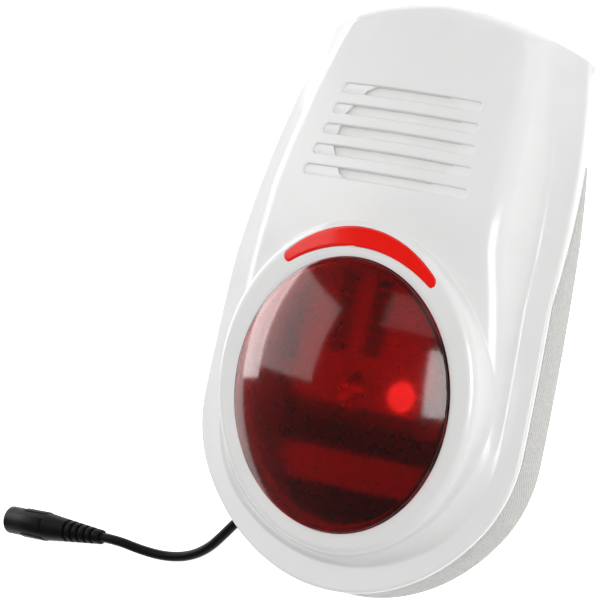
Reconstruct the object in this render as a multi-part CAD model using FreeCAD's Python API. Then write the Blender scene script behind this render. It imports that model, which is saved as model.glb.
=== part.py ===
import FreeCAD, Part
import math
import os

from FreeCAD import Placement, Rotation, Vector

# Alarm siren lying on its back. X right, Y towards the top end, Z out of the front.
# The origin is on the back plane, midway along the case. All sizes are in millimetres.

# Driving dimensions of the case outline (a shield: arched top end, round bottom end)
HALF_WIDTH = 71.2          # widest half width
Y_WIDE = -44.6             # where the case is widest
Y_TOP = 103.5              # crown of the arched top end
BOTTOM_DEPTH = 58.9        # from the widest line down to the bottom end
WALL = 2.2                 # shell thickness

# The outline and the bulge footprint: (half width, widest y, lower side radius, knee y, upper
# side radius, flank radius, bottom depth, top y, top arch radius, top corner radius)
OUTLINE = (HALF_WIDTH, Y_WIDE, 1122.0, 22.4, 293.0, 47.0, BOTTOM_DEPTH, Y_TOP, 125.1, 3.2)
BACK_OUTLINE = (69.5, -46.7, 1095.0, 20.0, 300.0, 45.9, 57.4, Y_TOP, 125.1, 3.2)
FLANGE_WIDTH = 9.5
BULGE = (HALF_WIDTH - FLANGE_WIDTH, Y_WIDE, 720.0, 28.0, 200.0, 44.0,
         BOTTOM_DEPTH - FLANGE_WIDTH, 120.0, 100.0, 16.0)     # runs out past the top end
BULGE_DRAFT = 0.25         # inward lean of the bulge wall per millimetre of height

# Heights above the back plane
FLOOR = 2.4                # back plate thickness
FLANGE_Z = 14.8            # flat part of the cover's flange
FLANGE_SLOPE = 0.133       # its fall towards the top end, past FLANGE_BEND_Y
FLANGE_BEND_Y = 4.0
FLANGE_THICK = 2.0
SKIRT_Z = 0.4              # lower edge of the cover's skirt at the top end
PART_Z = 12.6              # top of the base wall
PART_Y0 = 6.0              # the base wall starts to taper here
PART_Y1 = 55.0             # and ends here, where the cover's skirt takes over
PART_Z1 = 2.4
REVEAL = 0.3               # groove between base wall and cover
PLATE_STEP_Y = 78.0        # past this the back plate lies inside the bulge, clear of the flange

# Crown of the cover along its centre line (y, z), and its radius across
CROWN_LINE = ((-112, 17.6), (-90, 20.0), (-60, 23.0), (-37, 25.3), (-10, 28.2), (8, 30.2),
              (22, 31.3), (38, 29.9), (53.5, 26.8), (68, 23.9), (84, 20.7), (98, 17.9),
              (112, 15.1), (126, 12.3))
CROWN_RADIUS = 280.0
END_ROUND = 5.0            # rounding between the crown and the top end wall
END_HEIGHT = 17.2          # where the rounding leaves the crown
END_RISE = 0.25            # slope at which it leaves

# Lens frame: a disc on the cover, tilted so that its upper edge stands higher
LENS_Y = -37.0
LENS_Z = 27.0
LENS_TILT = 5.73           # degrees
LENS_R = 47.1
LENS_RIM = 1.1             # rim above the disc
DOME_RISE = 12.5
DISC_R = 56.6
DISC_SHIFT = 2.4           # the disc's centre lies this far above the lens centre
ARC_OUT_R, ARC_OUT_Y = 49.5, 8.3       # crescent's outer circle
ARC_IN_R, ARC_IN_Y = 57.0, -6.0        # crescent's inner circle
ARC_END_R = 1.95

# Sound slots, in a frame tilted with the upper slope of the crown
SLOT_Y = 53.1
SLOT_TILT = -11.1
SLOT_COUNT = 5
SLOT_PITCH = 7.69
SLOT_HALF = 33.6           # half length of the middle slot
SLOT_GROW = 1.38           # each slot is this much shorter than the one below it
SLOT_WIDTH = 3.6
SLOT_BLIND = 1.2           # depth of the blind slot ends
GRILLE_X, GRILLE_Y = 28.0, 22.0        # half axes of the twelve-sided open region

# Lead: route points of the free cord's centre line, and its diameter
CORD_D = 3.5
CORD_Z = CORD_D / 2
LEAD_ANGLE = math.radians(229.3)       # direction in which the lead leaves the wall
LEAD_EXIT = (math.cos(LEAD_ANGLE), math.sin(LEAD_ANGLE))
ARC_CENTRE_Y = -27.44                  # centre of the bottom arc of the outline at EXIT_Z
ARC_RADIUS = 76.45
EXIT_Z = 4.6
SOCKET_ANGLE = math.radians(182.3)
SOCKET_DIR = (math.cos(SOCKET_ANGLE), math.sin(SOCKET_ANGLE))
SOCKET_START = (-113.0, -105.4)
SOCKET_R = 5.3
SOCKET_Z = SOCKET_R
SOCKET_LENGTH = 45.0
RELIEF_LENGTH = 19.0

os.makedirs("parts", exist_ok=True)


# ---------------------------------------------------------------- helpers

def save(node, shape):
    """Write one sub-part, in place, as parts/NODE.step."""
    shape.exportStep(os.path.join("parts", node + ".step"))


def group(shapes):
    """One node made of several separate solids."""
    return Part.makeCompound(list(shapes))


def cylinder(radius, z0, z1, x=0.0, y=0.0):
    """Upright cylinder between two heights."""
    return Part.makeCylinder(radius, z1 - z0, Vector(x, y, z0))


def tube(r_out, r_in, z0, z1, x=0.0, y=0.0):
    """Upright tube between two heights."""
    return cylinder(r_out, z0, z1, x, y).cut(cylinder(r_in, z0 - 1, z1 + 1, x, y))


def block(x0, x1, y0, y1, z0, z1):
    """Box between corner coordinates."""
    return Part.makeBox(x1 - x0, y1 - y0, z1 - z0, Vector(x0, y0, z0))


def placed(shape, placement):
    """Copy of a shape moved by a placement."""
    copy = shape.copy()
    copy.Placement = placement.multiply(copy.Placement)
    return copy


def soften(shape, radius, pick):
    """Round the edges for which pick(edge) is true."""
    return shape.makeFillet(radius, [edge for edge in shape.Edges if pick(edge)])


def polar(centre, radius, angle):
    return (centre[0] + radius * math.cos(angle), centre[1] + radius * math.sin(angle))


def circle_meet(c1, r1, c2, r2):
    """Right-hand, upper crossing of two circles whose centres are c1 and c2."""
    dx, dy = c2[0] - c1[0], c2[1] - c1[1]
    dist = math.hypot(dx, dy)
    along = (r1 * r1 - r2 * r2 + dist * dist) / (2 * dist)
    off = math.sqrt(r1 * r1 - along * along)
    mid = (c1[0] + along * dx / dist, c1[1] + along * dy / dist)
    ends = [(mid[0] + s * off * dy / dist, mid[1] - s * off * dx / dist) for s in (-1, 1)]
    return max(ends, key=lambda p: p[0] + p[1])


# ---------------------------------------------------------------- case outline

def shield_wire(spec, inset, z):
    """Closed outline of ten tangent arcs, moved inward by inset."""
    half, y_wide, r_low, y_knee, r_up, r_flank, depth, y_top, r_arch, r_corner = spec
    knee = math.asin((y_knee - y_wide) / r_low)
    c_low = (half - r_low, y_wide)
    c_up = polar(c_low, r_low - r_up, knee)
    c_flank = (half - r_flank, y_wide)
    r_bot = (c_flank[0] ** 2 + depth ** 2 - r_flank ** 2) / (2 * (depth - r_flank))
    c_bot = (0.0, y_wide - depth + r_bot)
    c_arch = (0.0, y_top - r_arch)
    r_c = max(r_corner - inset, 0.6)
    c_c = circle_meet(c_up, r_up - inset - r_c, c_arch, r_arch - inset - r_c)

    def at(centre, radius, angle):
        x, y = polar(centre, radius, angle)
        return Vector(x, y, z)

    def arc(centre, radius, a0, a1):
        p0, pm, p1 = (at(centre, radius, a) for a in (a0, (a0 + a1) / 2, a1))
        return Part.Arc(p0, pm, p1).toShape()

    a_join = math.atan2(c_flank[1] - c_bot[1], c_flank[0] - c_bot[0])
    a_side = math.atan2(c_c[1] - c_up[1], c_c[0] - c_up[0])
    a_arch = math.atan2(c_c[1] - c_arch[1], c_c[0] - c_arch[0])
    right = [
        arc(c_flank, r_flank - inset, a_join, 0.0),
        arc(c_low, r_low - inset, 0.0, knee),
        arc(c_up, r_up - inset, knee, a_side),
        arc(c_c, r_c, a_side, a_arch),
    ]
    top = arc(c_arch, r_arch - inset, a_arch, math.pi - a_arch)
    bottom = arc(c_bot, r_bot - inset, -math.pi - a_join, a_join)
    left = [e.mirror(Vector(0, 0, 0), Vector(1, 0, 0)) for e in right]
    return Part.Wire(Part.__sortEdges__(right + [top] + left + [bottom]))


def shield_prism(spec, inset, z0, z1):
    face = Part.Face(shield_wire(spec, inset, z0))
    return face.extrude(Vector(0, 0, z1 - z0))


def shield_taper(spec, inset, z0, z1, z_ref, draft):
    """Leaning-walled solid whose outline is true to spec at z_ref."""
    low = shield_wire(spec, inset + (z0 - z_ref) * draft, z0)
    high = shield_wire(spec, inset + (z1 - z_ref) * draft, z1)
    return Part.makeLoft([low, high], True, True)


def case_wall(inset, z0, z1):
    """Outline solid, upright above the parting height and narrowing below it to the back."""
    wires = [shield_wire(BACK_OUTLINE, inset, 0.0), shield_wire(OUTLINE, inset, PART_Z),
             shield_wire(OUTLINE, inset, 40.0)]
    return Part.makeLoft(wires, True, True).common(block(-90, 90, -120, 120, z0, z1))


def side_prism(points, half_width=90.0):
    """Prism along X from a closed (y, z) outline."""
    wire = Part.makePolygon([Vector(-half_width, y, z) for y, z in points + points[:1]])
    return Part.Face(wire).extrude(Vector(2 * half_width, 0, 0))


def flange_height(y):
    return FLANGE_Z - FLANGE_SLOPE * max(y - FLANGE_BEND_Y, 0.0)


def below_flange(drop):
    """Everything under the flange's top face, lowered by drop."""
    far = 112.0
    points = [(-far, -5), (far, -5), (far, flange_height(far) - drop),
              (FLANGE_BEND_Y, FLANGE_Z - drop), (-far, FLANGE_Z - drop)]
    return side_prism(points)


def below_crown(drop):
    """Everything under the domed crown of the cover, lowered by drop."""
    half = 80.0
    sag = CROWN_RADIUS - math.sqrt(CROWN_RADIUS ** 2 - half ** 2)
    wires = []
    for y, z in CROWN_LINE:
        low_l, low_r = Vector(-half, y, -10), Vector(half, y, -10)
        top_l, top_r = Vector(-half, y, z - drop - sag), Vector(half, y, z - drop - sag)
        arch = Part.Arc(top_r, Vector(0, y, z - drop), top_l).toShape()
        sides = [Part.makeLine(low_l, low_r), Part.makeLine(low_r, top_r), arch,
                 Part.makeLine(top_l, low_l)]
        wires.append(Part.Wire(sides))
    return Part.makeLoft(wires, True, False)


def end_rounding(inset):
    """Space inside the rounded top end: a turned solid on the axis of the end's arch."""
    r_arch = OUTLINE[8]
    r_side, z_top, round_r = r_arch - inset, END_HEIGHT - inset, END_ROUND - inset
    lean = math.atan(END_RISE)
    centre = (r_side - round_r, z_top - round_r)
    tangent = polar(centre, round_r, math.pi / 2 - lean)
    middle = polar(centre, round_r, (math.pi / 2 - lean) / 2)
    inner_r = 80.0
    rise = tangent[1] + (tangent[0] - inner_r) * END_RISE

    def v(r, z):
        return Vector(r, Y_TOP - r_arch, z)

    arc = Part.Arc(v(r_side, centre[1]), v(*middle), v(*tangent)).toShape()
    corners = [v(*tangent), v(inner_r, rise), v(inner_r, 60), v(0, 60), v(0, -5), v(r_side, -5),
               v(r_side, centre[1])]
    face = Part.Face(Part.Wire([arc] + Part.makePolygon(corners).Edges))
    return face.revolve(v(0, 0), Vector(0, 0, 1), 360)


LENS_FRAME = Placement(Vector(0, LENS_Y, LENS_Z), Rotation(Vector(1, 0, 0), LENS_TILT))
SLOT_FRAME = Placement(Vector(0, SLOT_Y, 26.9), Rotation(Vector(1, 0, 0), SLOT_TILT))


# ---------------------------------------------------------------- front cover

def bulge(inset, drop, round_r):
    """Bulge of the cover under its crown, with a rounded upper edge."""
    body = shield_taper(BULGE, inset, -4.0, 44.0, FLANGE_Z, BULGE_DRAFT).common(below_crown(drop))
    top = max(body.Faces, key=lambda f: f.CenterOfMass.z)
    body = body.makeFillet(round_r, top.Edges)
    return body.common(shield_prism(OUTLINE, inset, -3.0, 40.0)).common(end_rounding(inset))


def disc(radius, top, round_r):
    """Raised round bezel, in the lens frame."""
    body = Part.makeCone(radius + 3.2, radius, 13.0, Vector(0, DISC_SHIFT, top - 13.0))
    body = soften(body, round_r, lambda e: abs(e.CenterOfMass.z - top) < 0.01
                  and e.BoundBox.ZLength < 0.01)
    return placed(body, LENS_FRAME)


def crescent(grow, z0, z1):
    """Crescent prism, in the lens frame, grown outward by grow."""
    r_out, r_in, r_end = ARC_OUT_R + grow, ARC_IN_R - grow, ARC_END_R + grow
    c_out, c_in = (0.0, ARC_OUT_Y), (0.0, ARC_IN_Y)
    end = circle_meet(c_in, r_in + r_end, c_out, r_out - r_end)
    a_out = math.atan2(end[1] - c_out[1], end[0] - c_out[0])
    a_in = math.atan2(end[1] - c_in[1], end[0] - c_in[0])

    def v(p, side=1):
        return Vector(side * p[0], p[1], z0)

    tip = polar(end, r_end, a_out - math.pi / 2)
    outer = [polar(c_out, r_out, a) for a in (a_out, math.pi / 2)]
    inner = [polar(c_in, r_in, a) for a in (a_in, math.pi / 2)]
    edges = [Part.Arc(v(outer[0]), v(outer[1]), v(outer[0], -1)).toShape(),
             Part.Arc(v(inner[0]), v(inner[1]), v(inner[0], -1)).toShape()]
    for side in (1, -1):
        edges.append(Part.Arc(v(outer[0], side), v(tip, side), v(inner[0], side)).toShape())
    face = Part.Face(Part.Wire(Part.__sortEdges__(edges)))
    return face.extrude(Vector(0, 0, z1 - z0))


def grille_prism(scale_x, scale_y, z0, z1):
    """Twelve-sided prism, in the slot frame."""
    corners = []
    for i in range(13):
        angle = math.radians(15 + 30 * i)
        corners.append(Vector(scale_x * math.cos(angle), scale_y * math.sin(angle), z0))
    return Part.Face(Part.makePolygon(corners)).extrude(Vector(0, 0, z1 - z0))


def slot_prisms(z0, z1):
    """The five round-ended slots, in the slot frame."""
    shapes = []
    r = SLOT_WIDTH / 2
    for i in range(SLOT_COUNT):
        row = i - (SLOT_COUNT - 1) / 2
        half = SLOT_HALF - SLOT_GROW * row - r
        y = row * SLOT_PITCH
        body = block(-half, half, y - r, y + r, z0, z1)
        for x in (-half, half):
            body = body.fuse(cylinder(r, z0, z1, x, y))
        shapes.append(body.removeSplitter())
    return shapes


def parting_cut():
    """Space under the cover's lower edge, where the base wall stands."""
    lift = REVEAL
    points = [(-112, -5), (PART_Y1 + REVEAL, -5), (PART_Y1 + REVEAL, PART_Z1 + lift),
              (PART_Y0, PART_Z + lift), (-112, PART_Z + lift)]
    return side_prism(points)


LENS_BOSS_R = 51.7
LENS_BOSS_ANGLES = (20, 160, 203, 337)
LOCK_Y = -90.0             # tab of the cover that the locking screw enters
LOCK_Z = 7.4
TAMPER_X, TAMPER_Y = -40.0, 12.0
HOOK_X = 9.0
HOOK_Y = 95.4              # tips of the hook lugs


def front_cover():
    outer = shield_prism(OUTLINE, 0.0, SKIRT_Z, 30.0).common(below_flange(0.0))
    outer = outer.fuse([bulge(0.0, 0.0, 7.0), disc(DISC_R, 0.0, 2.4)])
    hollow = shield_prism(OUTLINE, WALL, -3.0, 30.0).common(below_flange(FLANGE_THICK))
    hollow = hollow.fuse([bulge(WALL, WALL, 5.0), disc(DISC_R - WALL, -WALL, 0.8)])
    shell = outer.cut(hollow).cut(block(-90, 90, -120, 120, -20, SKIRT_Z))
    shell = shell.cut(parting_cut())
    shell = shell.cut(placed(cylinder(LENS_R + 0.3, -20, 10), LENS_FRAME))
    shell = shell.cut(placed(crescent(0.12, -20, 10), LENS_FRAME))

    # blind slots all along, open slots inside the grille region
    under = below_crown(SLOT_BLIND)
    through = placed(grille_prism(GRILLE_X, GRILLE_Y, -12, 12), SLOT_FRAME)
    for prism in slot_prisms(-12, 12):
        slot = placed(prism, SLOT_FRAME)
        shell = shell.cut(slot.cut(under)).cut(slot.common(through))

    # screw bosses for the lens retainer, cut level with the lens flange
    for angle in LENS_BOSS_ANGLES:
        x, y = polar((0, 0), LENS_BOSS_R, math.radians(angle))
        boss = cylinder(2.2, -4.4, -WALL + 0.4, x, y).cut(cylinder(1.05, -5, -2.6, x, y))
        shell = shell.fuse(placed(boss, LENS_FRAME))

    # tab for the locking screw, tamper post, and the two hook lugs at the top edge
    tab = block(-5, 5, LOCK_Y, LOCK_Y + 3.0, 4.0, 19.6)
    tab = tab.cut(Part.makeCylinder(1.6, 10, Vector(0, LOCK_Y - 3, LOCK_Z), Vector(0, 1, 0)))
    post = tube(2.2, 1.1, 14.6, 27.0, TAMPER_X, TAMPER_Y).common(below_crown(WALL - 0.3))
    shell = shell.fuse([tab, post])
    for x in (-HOOK_X, HOOK_X):
        shell = shell.fuse(block(x - 4, x + 4, HOOK_Y, Y_TOP - 1.7, 0.6, 1.7))
    return shell.removeSplitter()


def dome_lens():
    """Cap of even thickness with an upright rim and a seating flange."""
    thick = 2.0
    sphere_r = (LENS_R ** 2 + DOME_RISE ** 2) / (2 * DOME_RISE)
    centre = Vector(0, 0, LENS_RIM + DOME_RISE - sphere_r)
    outer = Part.makeSphere(sphere_r, centre).common(cylinder(LENS_R, LENS_RIM, 20))
    outer = outer.fuse([cylinder(LENS_R, -4.4, LENS_RIM), cylinder(LENS_R + 2.2, -4.4, -3.0)])
    outer = outer.removeSplitter()
    inner = Part.makeSphere(sphere_r - thick, centre).common(cylinder(LENS_R - thick, -1.0, 20))
    inner = inner.fuse(cylinder(LENS_R - thick, -6.0, 0.6))
    return placed(outer.cut(inner), LENS_FRAME)


def lens_gasket():
    return placed(tube(LENS_R + 2.1, LENS_R + 0.4, -3.0, -WALL), LENS_FRAME)


def lens_retainer():
    """Flat ring under the lens flange with one ear for each boss."""
    body = cylinder(LENS_R + 2.6, -6.0, -4.4)
    for angle in LENS_BOSS_ANGLES:
        ear = cylinder(2.3, -6.0, -4.4, LENS_BOSS_R).fuse(block(48, LENS_BOSS_R, -2.3, 2.3, -6.0, -4.4))
        body = body.fuse(placed(ear, Placement(Vector(), Rotation(Vector(0, 0, 1), angle))))
    body = body.cut(cylinder(LENS_R - 3.0, -8, 0))
    for angle in LENS_BOSS_ANGLES:
        x, y = polar((0, 0), LENS_BOSS_R, math.radians(angle))
        body = body.cut(cylinder(1.25, -8, 0, x, y))
    return placed(body.removeSplitter(), LENS_FRAME)


def pan_screw(shank_r, head_r, length, head_h):
    """Screw with its head's underside at z = 0, shank upward."""
    body = cylinder(shank_r, 0, length).fuse(cylinder(head_r, -head_h, 0))
    body = soften(body.removeSplitter(), head_h * 0.45,
                  lambda e: abs(e.CenterOfMass.z + head_h) < 0.01 and e.BoundBox.ZLength < 0.01)
    recess = block(-head_r * 0.62, head_r * 0.62, -0.25, 0.25, -head_h - 1, -head_h * 0.45)
    cross = recess.copy()
    cross.rotate(Vector(0, 0, 0), Vector(0, 0, 1), 90)
    return body.cut(recess.fuse(cross))


def lens_screws():
    shapes = []
    for angle in LENS_BOSS_ANGLES:
        x, y = polar((0, 0), LENS_BOSS_R, math.radians(angle))
        screw = pan_screw(1.0, 1.8, 3.2, 1.2)
        screw.translate(Vector(x, y, -6.0))
        shapes.append(placed(screw, LENS_FRAME))
    return group(shapes)


def arc_window():
    """Crescent that fills its opening, with a flange behind the shell."""
    body = soften(crescent(0.0, -WALL - 0.1, 0.5), 0.45,
                  lambda e: abs(e.CenterOfMass.z - 0.5) < 0.01 and e.BoundBox.ZLength < 0.01)
    seat = crescent(0.85, -3.6, -WALL).common(cylinder(DISC_R - WALL - 0.9, -8, 8, 0, DISC_SHIFT))
    body = body.fuse(seat)
    return placed(body.removeSplitter(), LENS_FRAME)


BAFFLE_DROP = 2.6          # depth of the plate's face under the crown
BAFFLE_THICK = 1.5
BAFFLE_LEGS = ((-32, -6), (32, -6), (-30.5, 11), (30.5, 11))


def sound_baffle():
    """Plate that follows the crown behind the slots, on four legs against the shell."""
    body = placed(grille_prism(35.5, 27.0, -14.0, 4.0), SLOT_FRAME)
    body = body.common(below_crown(BAFFLE_DROP)).cut(below_crown(BAFFLE_DROP + BAFFLE_THICK))
    for x, y in BAFFLE_LEGS:
        leg = placed(cylinder(1.7, -10.0, 2.0, x, y), SLOT_FRAME)
        leg = leg.common(below_crown(WALL)).cut(below_crown(BAFFLE_DROP + BAFFLE_THICK / 2))
        body = body.fuse(leg)
    return body.removeSplitter()


# ---------------------------------------------------------------- base

BOARD = (-46.0, 46.0, -36.0, 22.0)     # main board: x0, x1, y0, y1
BOARD_Z = 6.4
BOARD_TOP = 8.0
BOARD_SCREWS = ((-42, -32), (42, -32), (-42, 18), (42, 18))
SIREN_Y = 53.5
SIREN_R = 24.0
SIREN_EARS = (30, 150, 270)
BATTERY = (-24.0, 38.0, -77.0, -46.0)
BATTERY_TOP = 15.4
STRAP_SCREWS = ((-31.0, -61.5), (45.0, -61.5))
WALL_HOLES = ((-30, -86), (30, -86), (-30, 84), (30, 84))
WALL_HOLE_R = 2.3
GROMMET_R = 3.4


def wall_point(offset):
    """Point on the lead's exit line, offset outward from the case wall."""
    return Vector(LEAD_EXIT[0] * (ARC_RADIUS + offset),
                  ARC_CENTRE_Y + LEAD_EXIT[1] * (ARC_RADIUS + offset), EXIT_Z)


def exit_cylinder(radius, start, end):
    direction = Vector(LEAD_EXIT[0], LEAD_EXIT[1], 0)
    return Part.makeCylinder(radius, end - start, wall_point(start), direction)


def base_shell():
    body = case_wall(0.25, 0.0, 25.0)
    over = [(-112, PART_Z), (PART_Y0, PART_Z), (PART_Y1, PART_Z1), (PART_Y1, -1), (112, -1),
            (112, 40), (-112, 40)]
    plate = case_wall(WALL + 0.7, 0.0, FLOOR)
    top_plate = plate.common(shield_prism(BULGE, 0.0, -1.0, 9.0))
    plate = plate.cut(block(-90, 90, PLATE_STEP_Y, 120, -1, 9))
    plate = plate.fuse(top_plate.common(block(-90, 90, PLATE_STEP_Y - 4, 120, -1, 9)))
    body = body.cut(side_prism(over)).fuse(plate)
    body = body.cut(case_wall(0.25 + WALL, FLOOR, 40.0))

    # inner lip that enters the cover
    lip = case_wall(WALL + 0.6, FLOOR - 0.5, 25.0)
    lip = lip.cut(case_wall(WALL + 1.6, 0.0, 40.0))
    lip_over = [(-112, PART_Z - 0.6), (PART_Y0, PART_Z - 0.6), (PART_Y1, PART_Z1 + 0.6),
                (PART_Y1, -1), (112, -1), (112, 40), (-112, 40)]
    body = body.fuse(lip.cut(side_prism(lip_over)))

    # posts for the board, the siren, the strap and the ribs around the battery
    posts = [tube(3.0, 1.15, FLOOR - 0.4, BOARD_Z, x, y) for x, y in BOARD_SCREWS]
    for angle in SIREN_EARS:
        x, y = polar((0, SIREN_Y), SIREN_R + 3.4, math.radians(angle))
        posts.append(tube(3.0, 1.15, FLOOR - 0.4, 6.0, x, y))
    posts += [tube(3.2, 1.15, FLOOR - 0.4, 12.0, x, y) for x, y in STRAP_SCREWS]
    x0, x1, y0, y1 = BATTERY
    rib_box = block(x0 - 1.6, x1 + 1.6, y0 - 1.6, y1 + 1.6, FLOOR - 0.4, 8.0)
    rib_gap = block(x0 - 0.2, x1 + 0.2, y0 - 0.2, y1 + 0.2, 0.5, 9.0)
    rib_open = block(x0 + 12, x1 - 12, y0 - 5, y1 + 5, FLOOR, 9.0)
    posts.append(rib_box.cut(rib_gap).cut(rib_open))
    body = body.fuse(posts)

    # counterbored boss for the locking screw in the bottom end wall
    boss = block(-5.5, 5.5, -102.2, -94.0, FLOOR - 0.4, PART_Z - 1.2)
    body = body.fuse(boss)
    body = body.cut(Part.makeCylinder(3.2, 8.0, Vector(0, -104.5, LOCK_Z), Vector(0, 1, 0)))
    body = body.cut(Part.makeCylinder(1.55, 20, Vector(0, -104, LOCK_Z), Vector(0, 1, 0)))

    # hook notches and retaining bridges at the top edge
    for x in (-HOOK_X, HOOK_X):
        body = body.cut(block(x - 5, x + 5, HOOK_Y - 0.6, 104, -1, 4))
        bridge = block(x - 6.4, x + 6.4, HOOK_Y - 4.0, HOOK_Y + 1.1, FLOOR - 0.4, 7.8)
        body = body.fuse(bridge.cut(block(x - 5, x + 5, HOOK_Y - 2.0, 104, -1, 6.2)))

    # lead exit and wall-screw holes
    body = body.cut(exit_cylinder(GROMMET_R - 1.0, -6, 6)).cut(exit_cylinder(GROMMET_R + 0.1, -12, -2.6))
    for x, y in WALL_HOLES:
        body = body.cut(cylinder(WALL_HOLE_R, -1, 10, x, y))
    return body.removeSplitter()


def cord_grommet():
    """Stepped bush that grips the wall on both sides."""
    body = exit_cylinder(GROMMET_R - 1.0, -2.45, 0.15)
    body = body.fuse([exit_cylinder(GROMMET_R, -4.4, -2.65), exit_cylinder(GROMMET_R, 0.35, 2.2)])
    body = body.fuse(exit_cylinder(GROMMET_R - 1.0, -2.7, 0.4))
    body = body.cut(exit_cylinder(CORD_D / 2 + 0.02, -8, 8))
    return body.removeSplitter()


def main_board():
    x0, x1, y0, y1 = BOARD
    body = block(x0, x1, y0, y1, BOARD_Z, BOARD_TOP)
    body = soften(body, 3.0, lambda e: e.BoundBox.ZLength > 1 and e.BoundBox.XLength < 0.01
                  and e.BoundBox.YLength < 0.01)
    for x, y in BOARD_SCREWS:
        body = body.cut(cylinder(1.35, 0, 20, x, y))
    return body


def down_screws(places, z, shank_r=1.1, head_r=2.2, length=6.0, head_h=1.5):
    """Group of upright screws whose heads rest on height z."""
    shapes = []
    for x, y in places:
        screw = pan_screw(shank_r, head_r, length, head_h)
        screw.rotate(Vector(0, 0, 0), Vector(1, 0, 0), 180)
        screw.translate(Vector(x, y, z))
        shapes.append(screw)
    return group(shapes)


def radio_module():
    board = block(12, 30, -34, -20, BOARD_TOP + 0.6, BOARD_TOP + 1.6)
    can = soften(block(13.5, 24, -33, -21, BOARD_TOP + 1.6, BOARD_TOP + 4.0), 0.4,
                 lambda e: e.CenterOfMass.z > BOARD_TOP + 3.9)
    pins = [block(26 + 0.2, 26.8, -33 + 2 * i, -32.4 + 2 * i, BOARD_TOP, BOARD_TOP + 0.6)
            for i in range(6)]
    pads = block(13, 16, -33, -21, BOARD_TOP, BOARD_TOP + 0.6)
    return board.fuse([can, pads] + pins).removeSplitter()


def antenna_coil():
    """Spring antenna lying along X on the board's top edge."""
    turn_r, wire_r, pitch, turns = 2.6, 0.4, 2.2, 10
    helix = Part.makeHelix(pitch, pitch * turns, turn_r)
    ring = Part.Wire(Part.makeCircle(wire_r, Vector(turn_r, 0, 0), Vector(0, 1, 0)))
    coil = Part.Wire(helix).makePipeShell([ring], True, True)
    coil.rotate(Vector(0, 0, 0), Vector(0, 1, 0), 90)
    coil.translate(Vector(-20.0, 6.0, BOARD_TOP + turn_r + wire_r + 0.05))
    return coil


def controller_chips():
    shapes = []
    for x, y, w, d, h in ((-8, -24, 9, 9, 1.6), (-16, -6, 6, 5, 1.5), (36, 8, 10, 6, 1.8)):
        chip = block(x - w / 2, x + w / 2, y - d / 2, y + d / 2, BOARD_TOP, BOARD_TOP + h)
        top = BOARD_TOP + h
        shapes.append(chip.makeChamfer(0.3, [e for e in chip.Edges if e.CenterOfMass.z > top - 0.01]))
    return group(shapes)


def boost_coil():
    core = cylinder(5.0, BOARD_TOP, BOARD_TOP + 1.6, 37, -6)
    waist = cylinder(3.9, BOARD_TOP + 1.6, BOARD_TOP + 5.4, 37, -6)
    lid = cylinder(5.0, BOARD_TOP + 5.4, BOARD_TOP + 7.0, 37, -6)
    return core.fuse([waist, lid]).removeSplitter()


def capacitors():
    shapes = []
    for x, y, r, h in ((-37, -18, 4.0, 8.2), (-37, -8.5, 3.2, 8.0), (40, -24, 2.5, 6.5)):
        body = cylinder(r, BOARD_TOP, BOARD_TOP + h, x, y)
        body = soften(body, 0.5, lambda e: e.BoundBox.ZLength < 0.01)
        shapes.append(body)
    return group(shapes)


HEADERS = ((-22.0, -31.5, 8.0), (-1.0, 17.5, 8.0), (-35.0, -31.5, 8.0))


def wire_headers():
    """Open-topped wire sockets for battery, siren and power."""
    shapes = []
    for x, y, w in HEADERS:
        body = block(x - w / 2, x + w / 2, y - 2.9, y + 2.9, BOARD_TOP, BOARD_TOP + 5.2)
        shapes.append(body.cut(block(x - w / 2 + 0.8, x + w / 2 - 0.8, y - 2.1, y + 2.1,
                                     BOARD_TOP + 1.2, BOARD_TOP + 6)))
    return group(shapes)


LAMP_Z = 17.0
LAMP_TOP = 18.2
LAMP_BOARD = (-29.0, 29.0, -40.0, 18.0)
LAMP_POSTS = ((-25.5, -14), (25.5, -14), (-25.5, 12), (25.5, 12))
STROBE_AT = (20.0, -33.5)
REFLECTOR_AT = (0.0, -34.0)
CHIP_ROWS = 7
CHIP_PITCH = 3.9
CHIP_X = (-12.0, 3.5)
CHIP_Y0 = -20.5


def lamp_board():
    x0, x1, y0, y1 = LAMP_BOARD
    body = block(x0, x1, y0, y1, LAMP_Z, LAMP_TOP)
    body = soften(body, 4.0, lambda e: e.BoundBox.ZLength > 1 and e.BoundBox.XLength < 0.01
                  and e.BoundBox.YLength < 0.01)
    for x, y in LAMP_POSTS:
        body = body.cut(cylinder(1.35, 10, 20, x, y))
    return body


def lamp_spacers():
    return group(tube(2.6, 1.15, BOARD_TOP, LAMP_Z, x, y) for x, y in LAMP_POSTS)


def lamp_chips():
    """Two columns of flat packages."""
    shapes = []
    for x in CHIP_X:
        for i in range(CHIP_ROWS):
            y = CHIP_Y0 + CHIP_PITCH * i
            shapes.append(block(x - 3.6, x + 3.6, y - 1.2, y + 1.2, LAMP_TOP, LAMP_TOP + 1.1))
    return group(shapes)


def strobe_lamp():
    x, y = STROBE_AT
    base = cylinder(5.0, LAMP_TOP, LAMP_TOP + 1.4, x, y)
    body = cylinder(4.6, LAMP_TOP + 1.4, LAMP_TOP + 3.6, x, y)
    body = soften(body, 1.6, lambda e: abs(e.CenterOfMass.z - LAMP_TOP - 3.6) < 0.01)
    return base.fuse(body).removeSplitter()


def strobe_reflector():
    """Shallow dish with a lamp bead in the middle."""
    x, y = REFLECTOR_AT
    dish = Part.makeCone(4.2, 7.0, 3.2, Vector(x, y, LAMP_TOP))
    dish = dish.cut(Part.makeCone(3.2, 6.4, 3.0, Vector(x, y, LAMP_TOP + 0.8)))
    bead = Part.makeSphere(2.0, Vector(x, y, LAMP_TOP + 2.2))
    return dish.fuse(bead).removeSplitter()


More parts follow.
